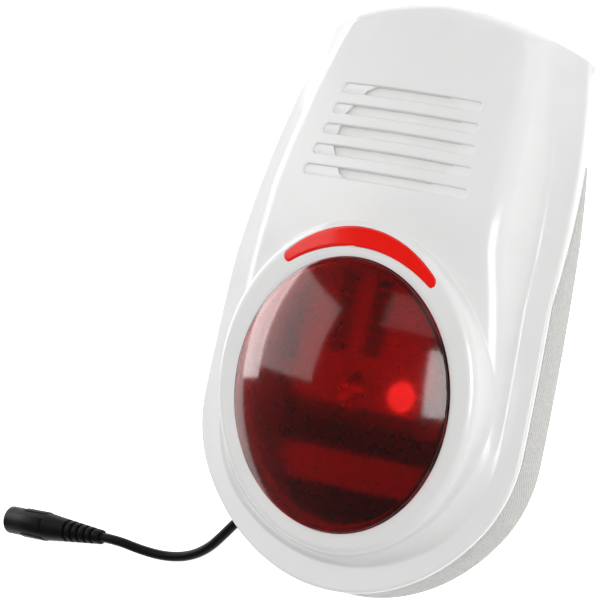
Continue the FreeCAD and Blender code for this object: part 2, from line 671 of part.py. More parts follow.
def arc_lights():
    shapes = []
    for i in range(5):
        x = -16 + 8 * i
        body = block(x - 1.75, x + 1.75, 13.6, 16.4, LAMP_TOP, LAMP_TOP + 0.9)
        shapes.append(body.fuse(cylinder(1.2, LAMP_TOP + 0.9, LAMP_TOP + 1.7, x, 15.0)))
    return group(shapes)


def siren_housing():
    """Cup with ears that carries the sounder disc."""
    body = cylinder(SIREN_R, 6.0, 13.6, 0, SIREN_Y).cut(cylinder(SIREN_R - 1.6, 7.6, 20, 0, SIREN_Y))
    body = body.fuse(tube(SIREN_R - 1.4, SIREN_R - 4.5, 7.6, 9.6, 0, SIREN_Y))
    for angle in SIREN_EARS:
        x, y = polar((0, SIREN_Y), SIREN_R + 3.4, math.radians(angle))
        ear = cylinder(3.2, 6.0, 7.8, x, y).fuse(placed(
            block(-5.0, 0, -3.2, 3.2, 6.0, 7.8),
            Placement(Vector(x, y, 0), Rotation(Vector(0, 0, 1), angle))))
        body = body.fuse(ear.cut(cylinder(SIREN_R - 0.5, 0, 20, 0, SIREN_Y)))
    for angle in SIREN_EARS:
        x, y = polar((0, SIREN_Y), SIREN_R + 3.4, math.radians(angle))
        body = body.cut(cylinder(1.35, 0, 20, x, y))
    return body.removeSplitter()


def piezo_disc():
    brass = cylinder(20.5, 9.65, 9.95, 0, SIREN_Y)
    ceramic = cylinder(14.0, 9.95, 10.2, 0, SIREN_Y)
    return brass.fuse(ceramic).removeSplitter()


def siren_front():
    """Cap with a ring of sound openings that drops into the cup."""
    body = cylinder(SIREN_R - 1.7, 11.4, 13.2, 0, SIREN_Y)
    body = body.fuse(tube(SIREN_R - 1.7, SIREN_R - 3.4, 9.98, 11.4, 0, SIREN_Y))
    for i in range(8):
        angle = math.radians(45 * i + 22.5)
        x, y = polar((0, SIREN_Y), 12.5, angle)
        body = body.cut(cylinder(3.0, 5, 20, x, y))
    return body.cut(cylinder(3.0, 5, 20, 0, SIREN_Y)).removeSplitter()


def siren_screws():
    places = [polar((0, SIREN_Y), SIREN_R + 3.4, math.radians(a)) for a in SIREN_EARS]
    return down_screws(places, 7.8, length=5.0)


def battery_pack():
    x0, x1, y0, y1 = BATTERY
    body = block(x0, x1, y0, y1, FLOOR, BATTERY_TOP)
    return soften(body, 2.4, lambda e: e.BoundBox.XLength > 50)


def battery_strap():
    """Strip bent over the pack, with a foot on each post."""
    x0, x1 = BATTERY[0], BATTERY[1]
    y0, y1 = STRAP_SCREWS[0][1] - 6, STRAP_SCREWS[0][1] + 6
    top = BATTERY_TOP + 0.05
    body = block(x0 - 1.6, x1 + 1.6, y0, y1, top, top + 1.0)
    body = body.fuse([block(x0 - 1.6, x0 - 0.6, y0, y1, 12.0, top + 1.0),
                      block(x1 + 0.6, x1 + 1.6, y0, y1, 12.0, top + 1.0),
                      block(x0 - 10.5, x0 - 0.6, y0, y1, 12.0, 13.0),
                      block(x1 + 0.6, x1 + 10.5, y0, y1, 12.0, 13.0)])
    for x, y in STRAP_SCREWS:
        body = body.cut(cylinder(1.35, 5, 20, x, y))
    return body.removeSplitter()


# ---------------------------------------------------------------- controls

SWITCH_AT = (-39.0, 2.2)
LEARN_AT = (26.0, 4.0)


def power_switch_body():
    x, y = SWITCH_AT
    body = block(x - 2.6, x + 2.6, y - 5.0, y + 5.0, BOARD_TOP, BOARD_TOP + 4.4)
    return body.cut(block(x - 1.1, x + 1.1, y - 3.4, y + 3.4, BOARD_TOP + 1.6, BOARD_TOP + 5))


def power_switch_slider():
    x, y = SWITCH_AT
    foot = block(x - 1.0, x + 1.0, y - 3.3, y + 0.9, BOARD_TOP + 1.75, BOARD_TOP + 2.8)
    knob = block(x - 1.0, x + 1.0, y - 2.4, y + 0.0, BOARD_TOP + 2.8, BOARD_TOP + 7.2)
    return foot.fuse(knob).removeSplitter()


def learn_button_body():
    x, y = LEARN_AT
    body = block(x - 3, x + 3, y - 3, y + 3, BOARD_TOP, BOARD_TOP + 3.5)
    return body.cut(cylinder(1.85, BOARD_TOP + 1.6, BOARD_TOP + 5, x, y))


def learn_button_cap():
    x, y = LEARN_AT
    body = cylinder(1.75, BOARD_TOP + 2.2, BOARD_TOP + 5.0, x, y)
    return soften(body, 0.3, lambda e: abs(e.CenterOfMass.z - BOARD_TOP - 5.0) < 0.01)


def tamper_switch_body():
    x, y = TAMPER_X, TAMPER_Y
    body = block(x - 3, x + 3, y - 3, y + 3, BOARD_TOP, BOARD_TOP + 3.5)
    return body.cut(cylinder(1.85, BOARD_TOP + 0.9, BOARD_TOP + 5, x, y))


def tamper_plunger():
    x, y = TAMPER_X, TAMPER_Y
    body = cylinder(1.75, BOARD_TOP + 2.5, 14.2, x, y)
    return soften(body, 0.5, lambda e: abs(e.CenterOfMass.z - 14.2) < 0.01)


def cover_screw():
    """Locking screw, backed off in its counterbore along +Y."""
    head_y = -102.6
    body = Part.makeCylinder(1.5, 9.6, Vector(0, head_y + 2.0, LOCK_Z), Vector(0, 1, 0))
    head = Part.makeCylinder(2.9, 2.0, Vector(0, head_y, LOCK_Z), Vector(0, 1, 0))
    slot = block(-2.0, 2.0, head_y - 1, head_y + 1.0, LOCK_Z - 0.35, LOCK_Z + 0.35)
    cross = block(-0.35, 0.35, head_y - 1, head_y + 1.0, LOCK_Z - 2.0, LOCK_Z + 2.0)
    return body.fuse(head).cut(slot.fuse(cross)).removeSplitter()


# ---------------------------------------------------------------- lead and socket

def rounded_path(points):
    """Straight runs joined by arcs as large as the runs allow; returns wire, length, radii."""
    knots = [Vector(*p) for p in points]
    edges, radii = [], []
    start, length = knots[0], 0.0
    for before, here, after in zip(knots, knots[1:], knots[2:]):
        d_in = (here - before).normalize()
        d_out = (after - here).normalize()
        turn = math.acos(max(-1.0, min(1.0, d_in.dot(d_out))))
        cut = 0.45 * min((here - before).Length, (after - here).Length)
        radius = cut / math.tan(turn / 2)
        p_in, p_out = here - d_in * cut, here + d_out * cut
        centre_dir = (d_out - d_in).normalize()
        centre = here + centre_dir * (radius / math.cos(turn / 2))
        middle = centre - centre_dir * radius
        edges.append(Part.makeLine(start, p_in))
        edges.append(Part.Arc(p_in, middle, p_out).toShape())
        length += (p_in - start).Length + radius * turn
        radii.append(radius)
        start = p_out
    edges.append(Part.makeLine(start, knots[-1]))
    length += (knots[-1] - start).Length
    return Part.Wire(edges), length, radii


def cord(name, points, diameter):
    """Round cord along a route, with its radii and volume printed for checking."""
    path, length, radii = rounded_path(points)
    direction = Vector(*points[1]) - Vector(*points[0])
    ring = Part.Wire(Part.makeCircle(diameter / 2, Vector(*points[0]), direction))
    solid = path.makePipeShell([ring], True, True)
    expected = math.pi * diameter ** 2 / 4 * length
    print(name, "length", round(length, 1), "radii", [round(r, 1) for r in radii],
          "volume ratio", round(solid.Volume / expected, 4), "valid", solid.isValid())
    return solid


def dc_route():
    """Lead from the power header, through the grommet, to the inline socket."""
    inside = wall_point(-12.0)
    outside = wall_point(8.0)
    near = (SOCKET_START[0] - 7.5 * SOCKET_DIR[0], SOCKET_START[1] - 7.5 * SOCKET_DIR[1])
    return [
        (-35.0, -34.6, 11.0),
        (-35.4, -43.0, 9.6),
        (-36.6, -53.6, 6.8),
        (-39.2, -65.4, EXIT_Z + 0.1),
        (inside.x, inside.y, EXIT_Z),
        (outside.x, outside.y, EXIT_Z),
        (-63.8, -99.6, 2.6),
        (-73.0, -104.6, CORD_Z),
        (-84.0, -106.8, CORD_Z),
        (-95.2, -106.6, 2.9),
        (near[0], near[1], SOCKET_Z),
        (SOCKET_START[0], SOCKET_START[1], SOCKET_Z),
    ]


def socket_cylinder(r0, r1, start, end):
    """Cone or cylinder along the socket's axis, measured from the cord's end."""
    direction = Vector(SOCKET_DIR[0], SOCKET_DIR[1], 0)
    origin = Vector(SOCKET_START[0], SOCKET_START[1], SOCKET_Z) + direction * start
    if abs(r0 - r1) < 1e-6:
        return Part.makeCylinder(r0, end - start, origin, direction)
    return Part.makeCone(r0, r1, end - start, origin, direction)


SOCKET_BORE = 14.0
SHOULDER = 7.0


def socket_body():
    """Moulded grip with a ribbed strain relief and four raised grip pads."""
    grip0 = RELIEF_LENGTH + SHOULDER
    body = socket_cylinder(2.6, 4.3, 0.0, RELIEF_LENGTH)
    for i in range(5):
        groove = 2.6 + 3.1 * i
        r_at = 2.6 + 1.7 * groove / RELIEF_LENGTH
        ring = socket_cylinder(8, 8, groove, groove + 1.3)
        body = body.cut(ring.cut(socket_cylinder(r_at - 0.55, r_at - 0.55, 0, 40)))
    body = body.fuse(socket_cylinder(4.3, SOCKET_R - 0.3, RELIEF_LENGTH, grip0))
    grip = socket_cylinder(SOCKET_R - 0.3, SOCKET_R - 0.3, grip0, SOCKET_LENGTH)
    body = body.fuse(grip)
    direction = Vector(SOCKET_DIR[0], SOCKET_DIR[1], 0)
    centre = Vector(SOCKET_START[0], SOCKET_START[1], SOCKET_Z) + direction * (grip0 + 5.5)
    pad_ring = socket_cylinder(SOCKET_R, SOCKET_R, grip0 + 0.5, grip0 + 12.5)
    turn = Placement(centre, Rotation(Vector(1, 0, 0), direction))
    for i in range(4):
        pad = block(-4.4, 6.0, -2.7, 2.7, 0, 9)
        pad.rotate(Vector(0, 0, 0), Vector(1, 0, 0), 90 * i)
        body = body.fuse(placed(pad, turn).common(pad_ring))
    return body.cut(socket_cylinder(4.1, 4.1, SOCKET_LENGTH - SOCKET_BORE, 80)).removeSplitter()


def socket_sleeve():
    body = socket_cylinder(4.08, 4.08, SOCKET_LENGTH - SOCKET_BORE, SOCKET_LENGTH - 0.6)
    return body.cut(socket_cylinder(2.8, 2.8, SOCKET_LENGTH - 10.6, 80))


def socket_pin():
    back = SOCKET_LENGTH - 10.6
    pin = socket_cylinder(1.05, 1.05, back, SOCKET_LENGTH - 1.6)
    return pin.fuse(socket_cylinder(1.6, 1.6, back, back + 0.8)).removeSplitter()


def header_at(index, side):
    """Start of a wire pair at one of the headers."""
    x, y, width = HEADERS[index]
    return (x, y + side * 3.0, BOARD_TOP + 3.0)


def battery_lead():
    x, y, z = header_at(0, -1)
    return cord("battery_lead", [(x, y, z), (x - 1.5, y - 6.5, z - 0.6), (x - 4.5, y - 12.0, z),
                                 (x - 3.6, y - 18.4, z + 1.0), (BATTERY[0], BATTERY[3] - 9.0, z + 1.6)], 1.8)


def siren_lead():
    x, y, z = header_at(1, 1)
    return cord("siren_lead", [(x, y, z), (x + 1.2, y + 4.0, z + 0.3),
                               (x - 1.0, SIREN_Y - SIREN_R - 0.05, z)], 1.0)


def build():
    save("front_cover", front_cover())
    save("dome_lens", dome_lens())
    save("lens_gasket", lens_gasket())
    save("lens_retainer", lens_retainer())
    save("lens_screws", lens_screws())
    save("arc_window", arc_window())
    save("sound_baffle", sound_baffle())
    save("base_shell", base_shell())
    save("cord_grommet", cord_grommet())
    save("main_board", main_board())
    save("board_screws", down_screws(BOARD_SCREWS, BOARD_TOP, length=4.6))
    save("radio_module", radio_module())
    save("antenna_coil", antenna_coil())
    save("controller_chips", controller_chips())
    save("boost_coil", boost_coil())
    save("capacitors", capacitors())
    save("wire_headers", wire_headers())
    save("lamp_board", lamp_board())
    save("lamp_spacers", lamp_spacers())
    save("lamp_screws", down_screws(LAMP_POSTS, LAMP_TOP, length=6.0))
    save("lamp_chips", lamp_chips())
    save("strobe_lamp", strobe_lamp())
    save("strobe_reflector", strobe_reflector())
    save("arc_lights", arc_lights())
    save("siren_housing", siren_housing())
    save("piezo_disc", piezo_disc())
    save("siren_front", siren_front())
    save("siren_screws", siren_screws())
    save("battery_pack", battery_pack())
    save("battery_strap", battery_strap())
    save("strap_screws", down_screws(STRAP_SCREWS, 13.0, length=7.0))
    save("power_switch_body", power_switch_body())
    save("power_switch_slider", power_switch_slider())
    save("learn_button_body", learn_button_body())
    save("learn_button_cap", learn_button_cap())
    save("tamper_switch_body", tamper_switch_body())
    save("tamper_plunger", tamper_plunger())
    save("cover_screw", cover_screw())
    save("dc_cord", cord("dc_cord", dc_route(), CORD_D))
    save("socket_body", socket_body())
    save("socket_sleeve", socket_sleeve())
    save("socket_pin", socket_pin())
    save("battery_lead", battery_lead())
    save("siren_lead", siren_lead())


build()
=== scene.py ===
"""Alarm siren with a red strobe lens: meshes, materials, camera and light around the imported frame."""
import math

import bmesh
import bpy
import numpy as np
from mathutils import Matrix, Vector


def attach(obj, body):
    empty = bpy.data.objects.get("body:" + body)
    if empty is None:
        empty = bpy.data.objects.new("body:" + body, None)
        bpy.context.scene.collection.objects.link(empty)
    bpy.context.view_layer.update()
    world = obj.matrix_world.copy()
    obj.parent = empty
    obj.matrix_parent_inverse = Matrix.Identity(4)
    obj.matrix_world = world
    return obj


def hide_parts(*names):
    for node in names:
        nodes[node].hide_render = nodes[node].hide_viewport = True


MM = 0.001  # the case is worked out in millimetres and made in metres

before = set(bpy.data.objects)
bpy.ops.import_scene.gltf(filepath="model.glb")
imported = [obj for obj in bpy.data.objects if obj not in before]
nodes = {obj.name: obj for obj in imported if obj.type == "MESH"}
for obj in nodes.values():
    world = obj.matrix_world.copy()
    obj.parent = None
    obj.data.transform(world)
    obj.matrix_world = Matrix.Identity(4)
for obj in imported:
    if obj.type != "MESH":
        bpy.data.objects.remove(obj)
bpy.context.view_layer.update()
scene = bpy.context.scene
scene.view_settings.view_transform = "Standard"


# ---------------------------------------------------------------- camera

camera_data = bpy.data.cameras.new("camera")
camera_data.lens = 251.2
camera_data.sensor_width = 36.0
camera_data.clip_start = 0.05
camera_data.clip_end = 20.0
camera = bpy.data.objects.new("camera", camera_data)
scene.collection.objects.link(camera)
scene.camera = camera
CAMERA_AT = Vector((0.90098, -0.03254, 1.13666))
CAMERA_AIM = Vector((-0.03204, -0.00767, 0.0200))
CAMERA_ROLL = math.radians(11.81)
look = (CAMERA_AIM - CAMERA_AT).normalized()
side = look.cross(Vector((0, 1, 0))).normalized()
rise = side.cross(look)
turned = Matrix((side, rise, -look)).transposed() @ Matrix.Rotation(CAMERA_ROLL, 3, "Z")
camera.matrix_world = Matrix.Translation(CAMERA_AT) @ turned.to_4x4()


# ---------------------------------------------------------------- lead

LEAD_DIAMETER = 0.0035
# from the power header, through the base wall, to the socket's strain relief
LEAD_ROUTE = (
    (-0.0350, -0.0346, 0.0110),
    (-0.0354, -0.0430, 0.0096),
    (-0.0366, -0.0536, 0.0068),
    (-0.0392, -0.0654, 0.0047),
    (-0.04203, -0.07630, 0.0046),
    (-0.05507, -0.09146, 0.0046),
    (-0.0638, -0.0996, 0.0026),
    (-0.0730, -0.1046, 0.00175),
    (-0.0840, -0.1068, 0.00175),
    (-0.0952, -0.1066, 0.0029),
    (-0.10551, -0.10510, 0.0053),
    (-0.1130, -0.1054, 0.0053),
)


def lead(name, route, diameter):
    """Round lead as one smooth spline through a route."""
    curve = bpy.data.curves.new(name, "CURVE")
    curve.dimensions = "3D"
    curve.resolution_u = 16
    curve.bevel_depth = 1.0        # each point's radius gives the real size
    curve.bevel_resolution = 8
    curve.use_fill_caps = True
    spline = curve.splines.new("NURBS")
    spline.points.add(len(route) - 1)
    for point, place in zip(spline.points, route):
        point.co = (*place, 1.0)
        point.radius = diameter / 2
    spline.order_u = 3
    spline.use_endpoint_u = True
    made = bpy.data.objects.new(name, curve)
    scene.collection.objects.link(made)
    return made


dc_lead = lead("dc_lead", LEAD_ROUTE, LEAD_DIAMETER)
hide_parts("dc_cord")
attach(dc_lead, "base")


# ---------------------------------------------------------------- case sizes, as in the CAD model
# An outline is: half width, y of the widest place, radius of the side above it, y of the knee,
# radius above the knee, radius of the flank below, depth under the widest place, y of the top end,
# radius of its arch, corner radius.

HALF_WIDTH = 71.2
OUTLINE = (HALF_WIDTH, -44.6, 1122.0, 22.4, 293.0, 47.0, 58.9, 103.5, 125.1, 3.2)
SIDES = OUTLINE[:7] + (140.0,) + OUTLINE[8:]   # the same sides, run on past the top end
RIM = OUTLINE[:7] + (102.0, 145.0, 3.2)        # upper edge of the walls: the end wall leans in
BULGE = (61.7, -44.6, 720.0, 28.0, 200.0, 44.0, 49.4, 120.0, 100.0, 16.0)
BACK_INSET = 1.7           # how much further in the case's back edge lies than its rim
LEAN_FADE_Y, LEAN_FADE_RUN = 58.0, 14.0        # where that lean fades out towards the top end
END_WALL_Y = 85.0          # the end wall lies above this
WALL = 2.2
FLANGE_Z, FLANGE_SLOPE, FLANGE_BEND_Y, FLANGE_THICK = 14.8, 0.133, 4.0, 2.0
SKIRT_Z = 0.4
PART_Y0, PART_Z0 = 6.0, 12.9
PART_Y1, PART_Z1 = 55.3, 2.7
CROWN_LINE = ((-112, 17.6), (-90, 20.0), (-60, 23.0), (-37, 25.3), (-10, 28.2), (8, 30.2),
              (22, 31.3), (38, 29.9), (53.5, 26.8), (68, 23.9), (84, 20.7), (98, 17.9),
              (112, 15.1), (126, 12.3))
CROWN_RADIUS, END_CROWN_RADIUS = 280.0, 190.0
CROWN_TURN_Y, CROWN_TURN_RUN = 66.0, 36.0      # where the crown goes from one radius to the other
# top of the end wall as (x, z), and rise of the flange towards the bulge as (y, z)
END_EDGE = ((0, 12.5), (16, 11.0), (28, 9.4), (40, 8.0), (52, 5.2), (58, 3.0))
CREASE_LIFT = ((20, 0.0), (31, 1.0), (55, 2.5), (75, 5.5), (87, 8.4), (104, 10.5))
EDGE_R, END_EDGE_R = 1.0, 6.0                  # rounding of the flange's edge and of the top end
END_Y, END_RUN = 84.0, 10.0                    # where the first turns into the second
CREASE_HOLD = 0.35         # how much of the flange's fall the foot of the bulge makes good
WALL_SLOPE = 1.8
LENS_Y, LENS_Z = -37.0, 27.0
LENS_TILT = math.radians(5.73)
LENS_R, LENS_RIM, DOME_RISE = 47.1, 1.1, 12.5
HOLE_R, HOLE_LIP = LENS_R + 0.3, 0.25          # opening for the lens and its rounded edge
DISC_R, DISC_SHIFT, DISC_SLOPE = 56.6, 2.4, 13.0 / 3.2
ARC_OUT_R, ARC_OUT_Y = 49.5, 8.3
ARC_IN_R, ARC_IN_Y = 57.0, -6.0
ARC_END_R = 1.95
SLOT_Y, SLOT_Z = 53.1, 26.9
SLOT_TILT = math.radians(-11.1)
SLOT_COUNT, SLOT_PITCH, SLOT_HALF, SLOT_GROW, SLOT_WIDTH = 5, 7.69, 33.6, 1.38, 3.6
SLOT_BLIND, SLOT_STEP = 1.2, 1.8               # depth of a blind end, spacing of the outline's points
GRILLE_X, GRILLE_Y = 28.0, 22.0

LENS_FRAME = Matrix.Translation((0, LENS_Y, LENS_Z)) @ Matrix.Rotation(LENS_TILT, 4, "X")
SLOT_FRAME = Matrix.Translation((0, SLOT_Y, SLOT_Z)) @ Matrix.Rotation(SLOT_TILT, 4, "X")


# ---------------------------------------------------------------- outlines

def polar(centre, radius, angle):
    """Point at a radius and angle about a centre."""
    return (centre[0] + radius * math.cos(angle), centre[1] + radius * math.sin(angle))


def circle_meet(c1, r1, c2, r2):
    """Right-hand, upper crossing of two circles."""
    dx, dy = c2[0] - c1[0], c2[1] - c1[1]
    dist = math.hypot(dx, dy)
    along = (r1 * r1 - r2 * r2 + dist * dist) / (2 * dist)
    off = math.sqrt(r1 * r1 - along * along)
    mid = (c1[0] + along * dx / dist, c1[1] + along * dy / dist)
    ends = [(mid[0] + s * off * dy / dist, mid[1] - s * off * dx / dist) for s in (-1, 1)]
    return max(ends, key=lambda p: p[0] + p[1])


def arc_points(centre, radius, a0, a1, step):
    """Points along an arc without its last one, no further apart than step or six degrees."""
    swept = abs(a1 - a0)
    count = max(2, math.ceil(swept * radius / step), math.ceil(swept / math.radians(6)))
    return [polar(centre, radius, a0 + (a1 - a0) * i / count) for i in range(count)]


def shield(spec, step):
    """Outline of ten tangent arcs, anticlockwise from the bottom end, as an array of (x, y)."""
    half, y_wide, r_low, y_knee, r_up, r_flank, depth, y_top, r_arch, r_corner = spec
    knee = math.asin((y_knee - y_wide) / r_low)
    c_low = (half - r_low, y_wide)
    c_up = polar(c_low, r_low - r_up, knee)
    c_flank = (half - r_flank, y_wide)
    r_bottom = (c_flank[0] ** 2 + depth ** 2 - r_flank ** 2) / (2 * (depth - r_flank))
    c_bottom = (0.0, y_wide - depth + r_bottom)
    c_arch = (0.0, y_top - r_arch)
    c_corner = circle_meet(c_up, r_up - r_corner, c_arch, r_arch - r_corner)
    a_join = math.atan2(c_flank[1] - c_bottom[1], c_flank[0] - c_bottom[0])
    a_side = math.atan2(c_corner[1] - c_up[1], c_corner[0] - c_up[0])
    a_arch = math.atan2(c_corner[1] - c_arch[1], c_corner[0] - c_arch[0])
    points = arc_points(c_bottom, r_bottom, -math.pi / 2, a_join, step)
    points += arc_points(c_flank, r_flank, a_join, 0.0, step)
    points += arc_points(c_low, r_low, 0.0, knee, step)
    points += arc_points(c_up, r_up, knee, a_side, step)
    points += arc_points(c_corner, r_corner, a_side, a_arch, step)
    points += arc_points(c_arch, r_arch, a_arch, math.pi / 2, step)
    points.append((0.0, y_top))
    mirrored = [(-x, y) for x, y in points[-2:0:-1]]
    return np.array(points + mirrored)


def inward_normals(points):
    """Unit directions into a closed anticlockwise outline, one for each point."""
    along = np.roll(points, -1, 0) - np.roll(points, 1, 0)
    normal = np.stack([-along[:, 1], along[:, 0]], 1)
    return normal / np.linalg.norm(normal, axis=1, keepdims=True)


def inward_distance(x, y, outline):
    """Distance of points inside a closed outline, negative outside."""
    a = outline
    b = np.roll(outline, -1, 0)
    d = b - a
    length2 = (d ** 2).sum(1)
    flat_x, flat_y = x.ravel(), y.ravel()
    found = np.empty_like(flat_x)
    chunk = 20000
    for i in range(0, len(flat_x), chunk):
        px = flat_x[i:i + chunk, None] - a[:, 0]
        py = flat_y[i:i + chunk, None] - a[:, 1]
        t = np.clip((px * d[:, 0] + py * d[:, 1]) / length2, 0, 1)
        ex, ey = px - t * d[:, 0], py - t * d[:, 1]
        gap2 = ex ** 2 + ey ** 2
        near = gap2.argmin(1)
        rows = np.arange(len(near))
        cross = d[near, 0] * py[rows, near] - d[near, 1] * px[rows, near]
        found[i:i + chunk] = np.sqrt(gap2[rows, near]) * np.sign(cross)
    return found.reshape(x.shape)


# ---------------------------------------------------------------- cover surface

def spline_through(knots):
    """Natural cubic spline through (y, z) knots, as a function of an array."""
    ky = np.array([k[0] for k in knots], float)
    kz = np.array([k[1] for k in knots], float)
    h = np.diff(ky)
    count = len(ky)
    system, right = np.eye(count), np.zeros(count)
    for i in range(1, count - 1):
        system[i, i - 1:i + 2] = h[i - 1], 2 * (h[i - 1] + h[i]), h[i]
        right[i] = 6 * ((kz[i + 1] - kz[i]) / h[i] - (kz[i] - kz[i - 1]) / h[i - 1])
    bend = np.linalg.solve(system, right)

    def evaluate(y):
        i = np.clip(np.searchsorted(ky, y) - 1, 0, count - 2)
        w, a, b = h[i], ky[i + 1] - y, y - ky[i]
        return (bend[i] * a ** 3 + bend[i + 1] * b ** 3) / (6 * w) \
            + (kz[i] / w - bend[i] * w / 6) * a + (kz[i + 1] / w - bend[i + 1] * w / 6) * b

    return evaluate


crown_line = spline_through(CROWN_LINE)


def soft_step(at, start, run):
    """Goes from 0 to 1 over a run, level at both ends."""
    share = np.clip((at - start) / run, 0, 1)
    return share ** 2 * (3 - 2 * share)


def crown(x, y):
    """Height of the bulge's top face."""
    share = soft_step(y, CROWN_TURN_Y, CROWN_TURN_RUN)
    radius = CROWN_RADIUS + (END_CROWN_RADIUS - CROWN_RADIUS) * share
    return crown_line(y) - radius + np.sqrt(radius ** 2 - x ** 2)


def flange(y):
    """Height of the flat flange round the bulge."""
    soft = 2.5  # length over which it bends downward
    past = soft * np.logaddexp(0.0, (y - FLANGE_BEND_Y) / soft)
    return FLANGE_Z - FLANGE_SLOPE * past


def smooth_max(a, b, k):
    """The larger of two heights, blended where they lie within k of each other."""
    h = np.clip(0.5 + 0.5 * (a - b) / k, 0, 1)
    return b * (1 - h) + a * h + k * h * (1 - h)


def rounded_join(z1, s1, z2, s2, radius):
    """Height where rising line 1 rounds over into line 2, each given by its height and slope."""
    a, b = np.arctan(s1), np.arctan(s2)
    meet = (z2 - z1) / (s1 - s2)
    tangent = radius * np.tan((a - b) / 2)
    leave, join = meet - tangent * np.cos(a), meet + tangent * np.cos(b)
    centre = join + radius * np.sin(b)
    z_centre = z2 + s2 * join - radius * np.cos(b)
    arc = z_centre + np.sqrt(np.maximum(radius ** 2 - centre ** 2, 0))
    return np.where(leave > 0, z1, np.where(join < 0, z2, arc))


def disc_height(x, y, inset, radius):
    """Raised round bezel in its tilted frame, as heights above the back plane."""
    cos_t, sin_t = math.cos(LENS_TILT), math.sin(LENS_TILT)
    z = LENS_Z + np.tan(LENS_TILT) * (y - LENS_Y)
    for _ in range(8):     # settles the height on the tilted disc
        across = (y - LENS_Y) * cos_t + (z - LENS_Z) * sin_t - DISC_SHIFT
        inward = DISC_R - inset - np.hypot(x, across)
        flat = np.full_like(x, -inset)
        local = rounded_join(DISC_SLOPE * inward - inset, DISC_SLOPE, flat, 0.0, radius)
        z = LENS_Z + (local + (y - LENS_Y) * sin_t) / cos_t
    return z


BULGE_LINE = shield(BULGE, 1.0)
RIM_LINE = shield(RIM, 1.0)
SIDE_LINE = shield(SIDES, 1.0)


def table(knots, at):
    """Straight lines through (place, value) knots."""
    return np.interp(at, [k[0] for k in knots], [k[1] for k in knots])


def end_rounding(x, y, z):
    """Radius of the rounded edge: small along the flange, large in the middle of the top end."""
    wanted = np.clip(z - table(END_EDGE, np.abs(x)), EDGE_R, END_EDGE_R)
    return EDGE_R + (wanted - EDGE_R) * soft_step(y, END_Y, END_RUN)


def cover_height(x, y, inset=0.0, shoulder=10.0, bezel=3.6):
    """Height of the cover's outer face, or of the inner one that lies an inset under it."""
    def into_bulge(dx, dy):
        return inward_distance(x + dx, y + dy, BULGE_LINE)

    probe = 0.5
    inward = into_bulge(0, 0) - inset
    forward = (into_bulge(0, probe) - into_bulge(0, -probe)) / (2 * probe)
    sideways = (into_bulge(probe, 0) - into_bulge(-probe, 0)) / (2 * probe)
    crown_slope = (crown_line(y + probe) - crown_line(y - probe)) / (2 * probe)
    fall = crown_slope * forward - x / CROWN_RADIUS * sideways
    lift = table(CREASE_LIFT, y)
    start = flange(y) + lift + (FLANGE_Z - flange(y)) * CREASE_HOLD
    dome = rounded_join(start + WALL_SLOPE * inward, WALL_SLOPE, crown(x, y) - inset, fall, shoulder)
    from_side = np.maximum(inward_distance(x, y, SIDE_LINE), 0.0)
    share = from_side / (from_side + np.maximum(-inward, 0.0) + 0.01)
    brim = flange(y) + lift * share ** 1.3 - (FLANGE_THICK if inset else 0.0)
    body = smooth_max(dome, brim, 1.8)
    face = smooth_max(disc_height(x, y, inset, bezel), body, 1.6)
    from_rim = inward_distance(x, y, RIM_LINE) - inset
    radius = np.maximum(end_rounding(x, y, face + inset) - inset, 0.02)
    reach = np.clip(radius - from_rim, 0, radius)
    return face - radius + np.sqrt(radius ** 2 - reach ** 2)


def lower_edge(y):
    """Lower edge of the cover where it meets the base wall, and of its skirt beyond."""
    slope = (PART_Z1 - PART_Z0) / (PART_Y1 - PART_Y0)
    taper = np.clip(PART_Z0 + slope * (y - PART_Y0), PART_Z1, PART_Z0)
    return np.where(y > PART_Y1, SKIRT_Z, taper)


def mesh_of(name, points, faces):
    """Mesh from points in millimetres and faces."""
    mesh = bpy.data.meshes.new(name)
    mesh.from_pydata((points * MM).tolist(), [], faces)
    mesh.validate()
    return mesh


def grid_mesh(name, rings):
    """Closed mesh of quads over rings of equal length; the last ring joins the first."""
    count, around = len(rings), len(rings[0])
    faces = []
    for i in range(count):
        j = (i + 1) % count
        for k in range(around):
            m = (k + 1) % around
            faces.append((i * around + k, i * around + m, j * around + m, j * around + k))
    return mesh_of(name, np.concatenate(rings), faces)


def add(name, mesh):
    """New object in the scene around a mesh."""
    made = bpy.data.objects.new(name, mesh)
    scene.collection.objects.link(made)
    return made


def in_frame(matrix, points):
    """Points moved out of a tilted frame, in millimetres."""
    points = np.asarray(points, float)
    return points @ np.array(matrix.to_3x3()).T + np.array(matrix.translation)


def ring_places(inner, outer, features, count):
    """Shares of the way from inner to outer for count rings, packed closely round the features."""
    samples = 400
    share = np.linspace(0, 1, samples)
    span = np.linalg.norm(outer - inner, axis=1)[:, None]
    distance = share[None, :] * span
    weight = 1.0 / span + np.zeros_like(distance) + 0.25
    for place, reach_in, reach_out, gain in features:
        gap = distance - place[:, None]
        reach = np.where(gap < 0, reach_in, reach_out)
        weight += gain * np.exp(-(gap / reach) ** 4)
    total = np.cumsum((weight[:, 1:] + weight[:, :-1]) / 2, axis=1)
    total = np.concatenate([np.zeros((len(span), 1)), total], 1)
    total /= total[:, -1:]
    wanted = np.linspace(0, 1, count)
    return np.array([np.interp(wanted, row, share) for row in total])


def ray_reach(origin, directions, outline):
    """Distance from a point inside an outline to the outline, along each direction."""
    a = outline - origin
    b = np.roll(outline, -1, 0) - origin
    reach = np.full(len(directions), 1e9)
    for i, (dx, dy) in enumerate(directions):
        ca = dx * a[:, 1] - dy * a[:, 0]
        cb = dx * b[:, 1] - dy * b[:, 0]
        hit = (ca <= 0) & (cb > 0)
        t = ca[hit] / (ca[hit] - cb[hit])
        at = a[hit] + t[:, None] * (b[hit] - a[hit])
        reach[i] = (at @ np.array([dx, dy])).max()
    return reach


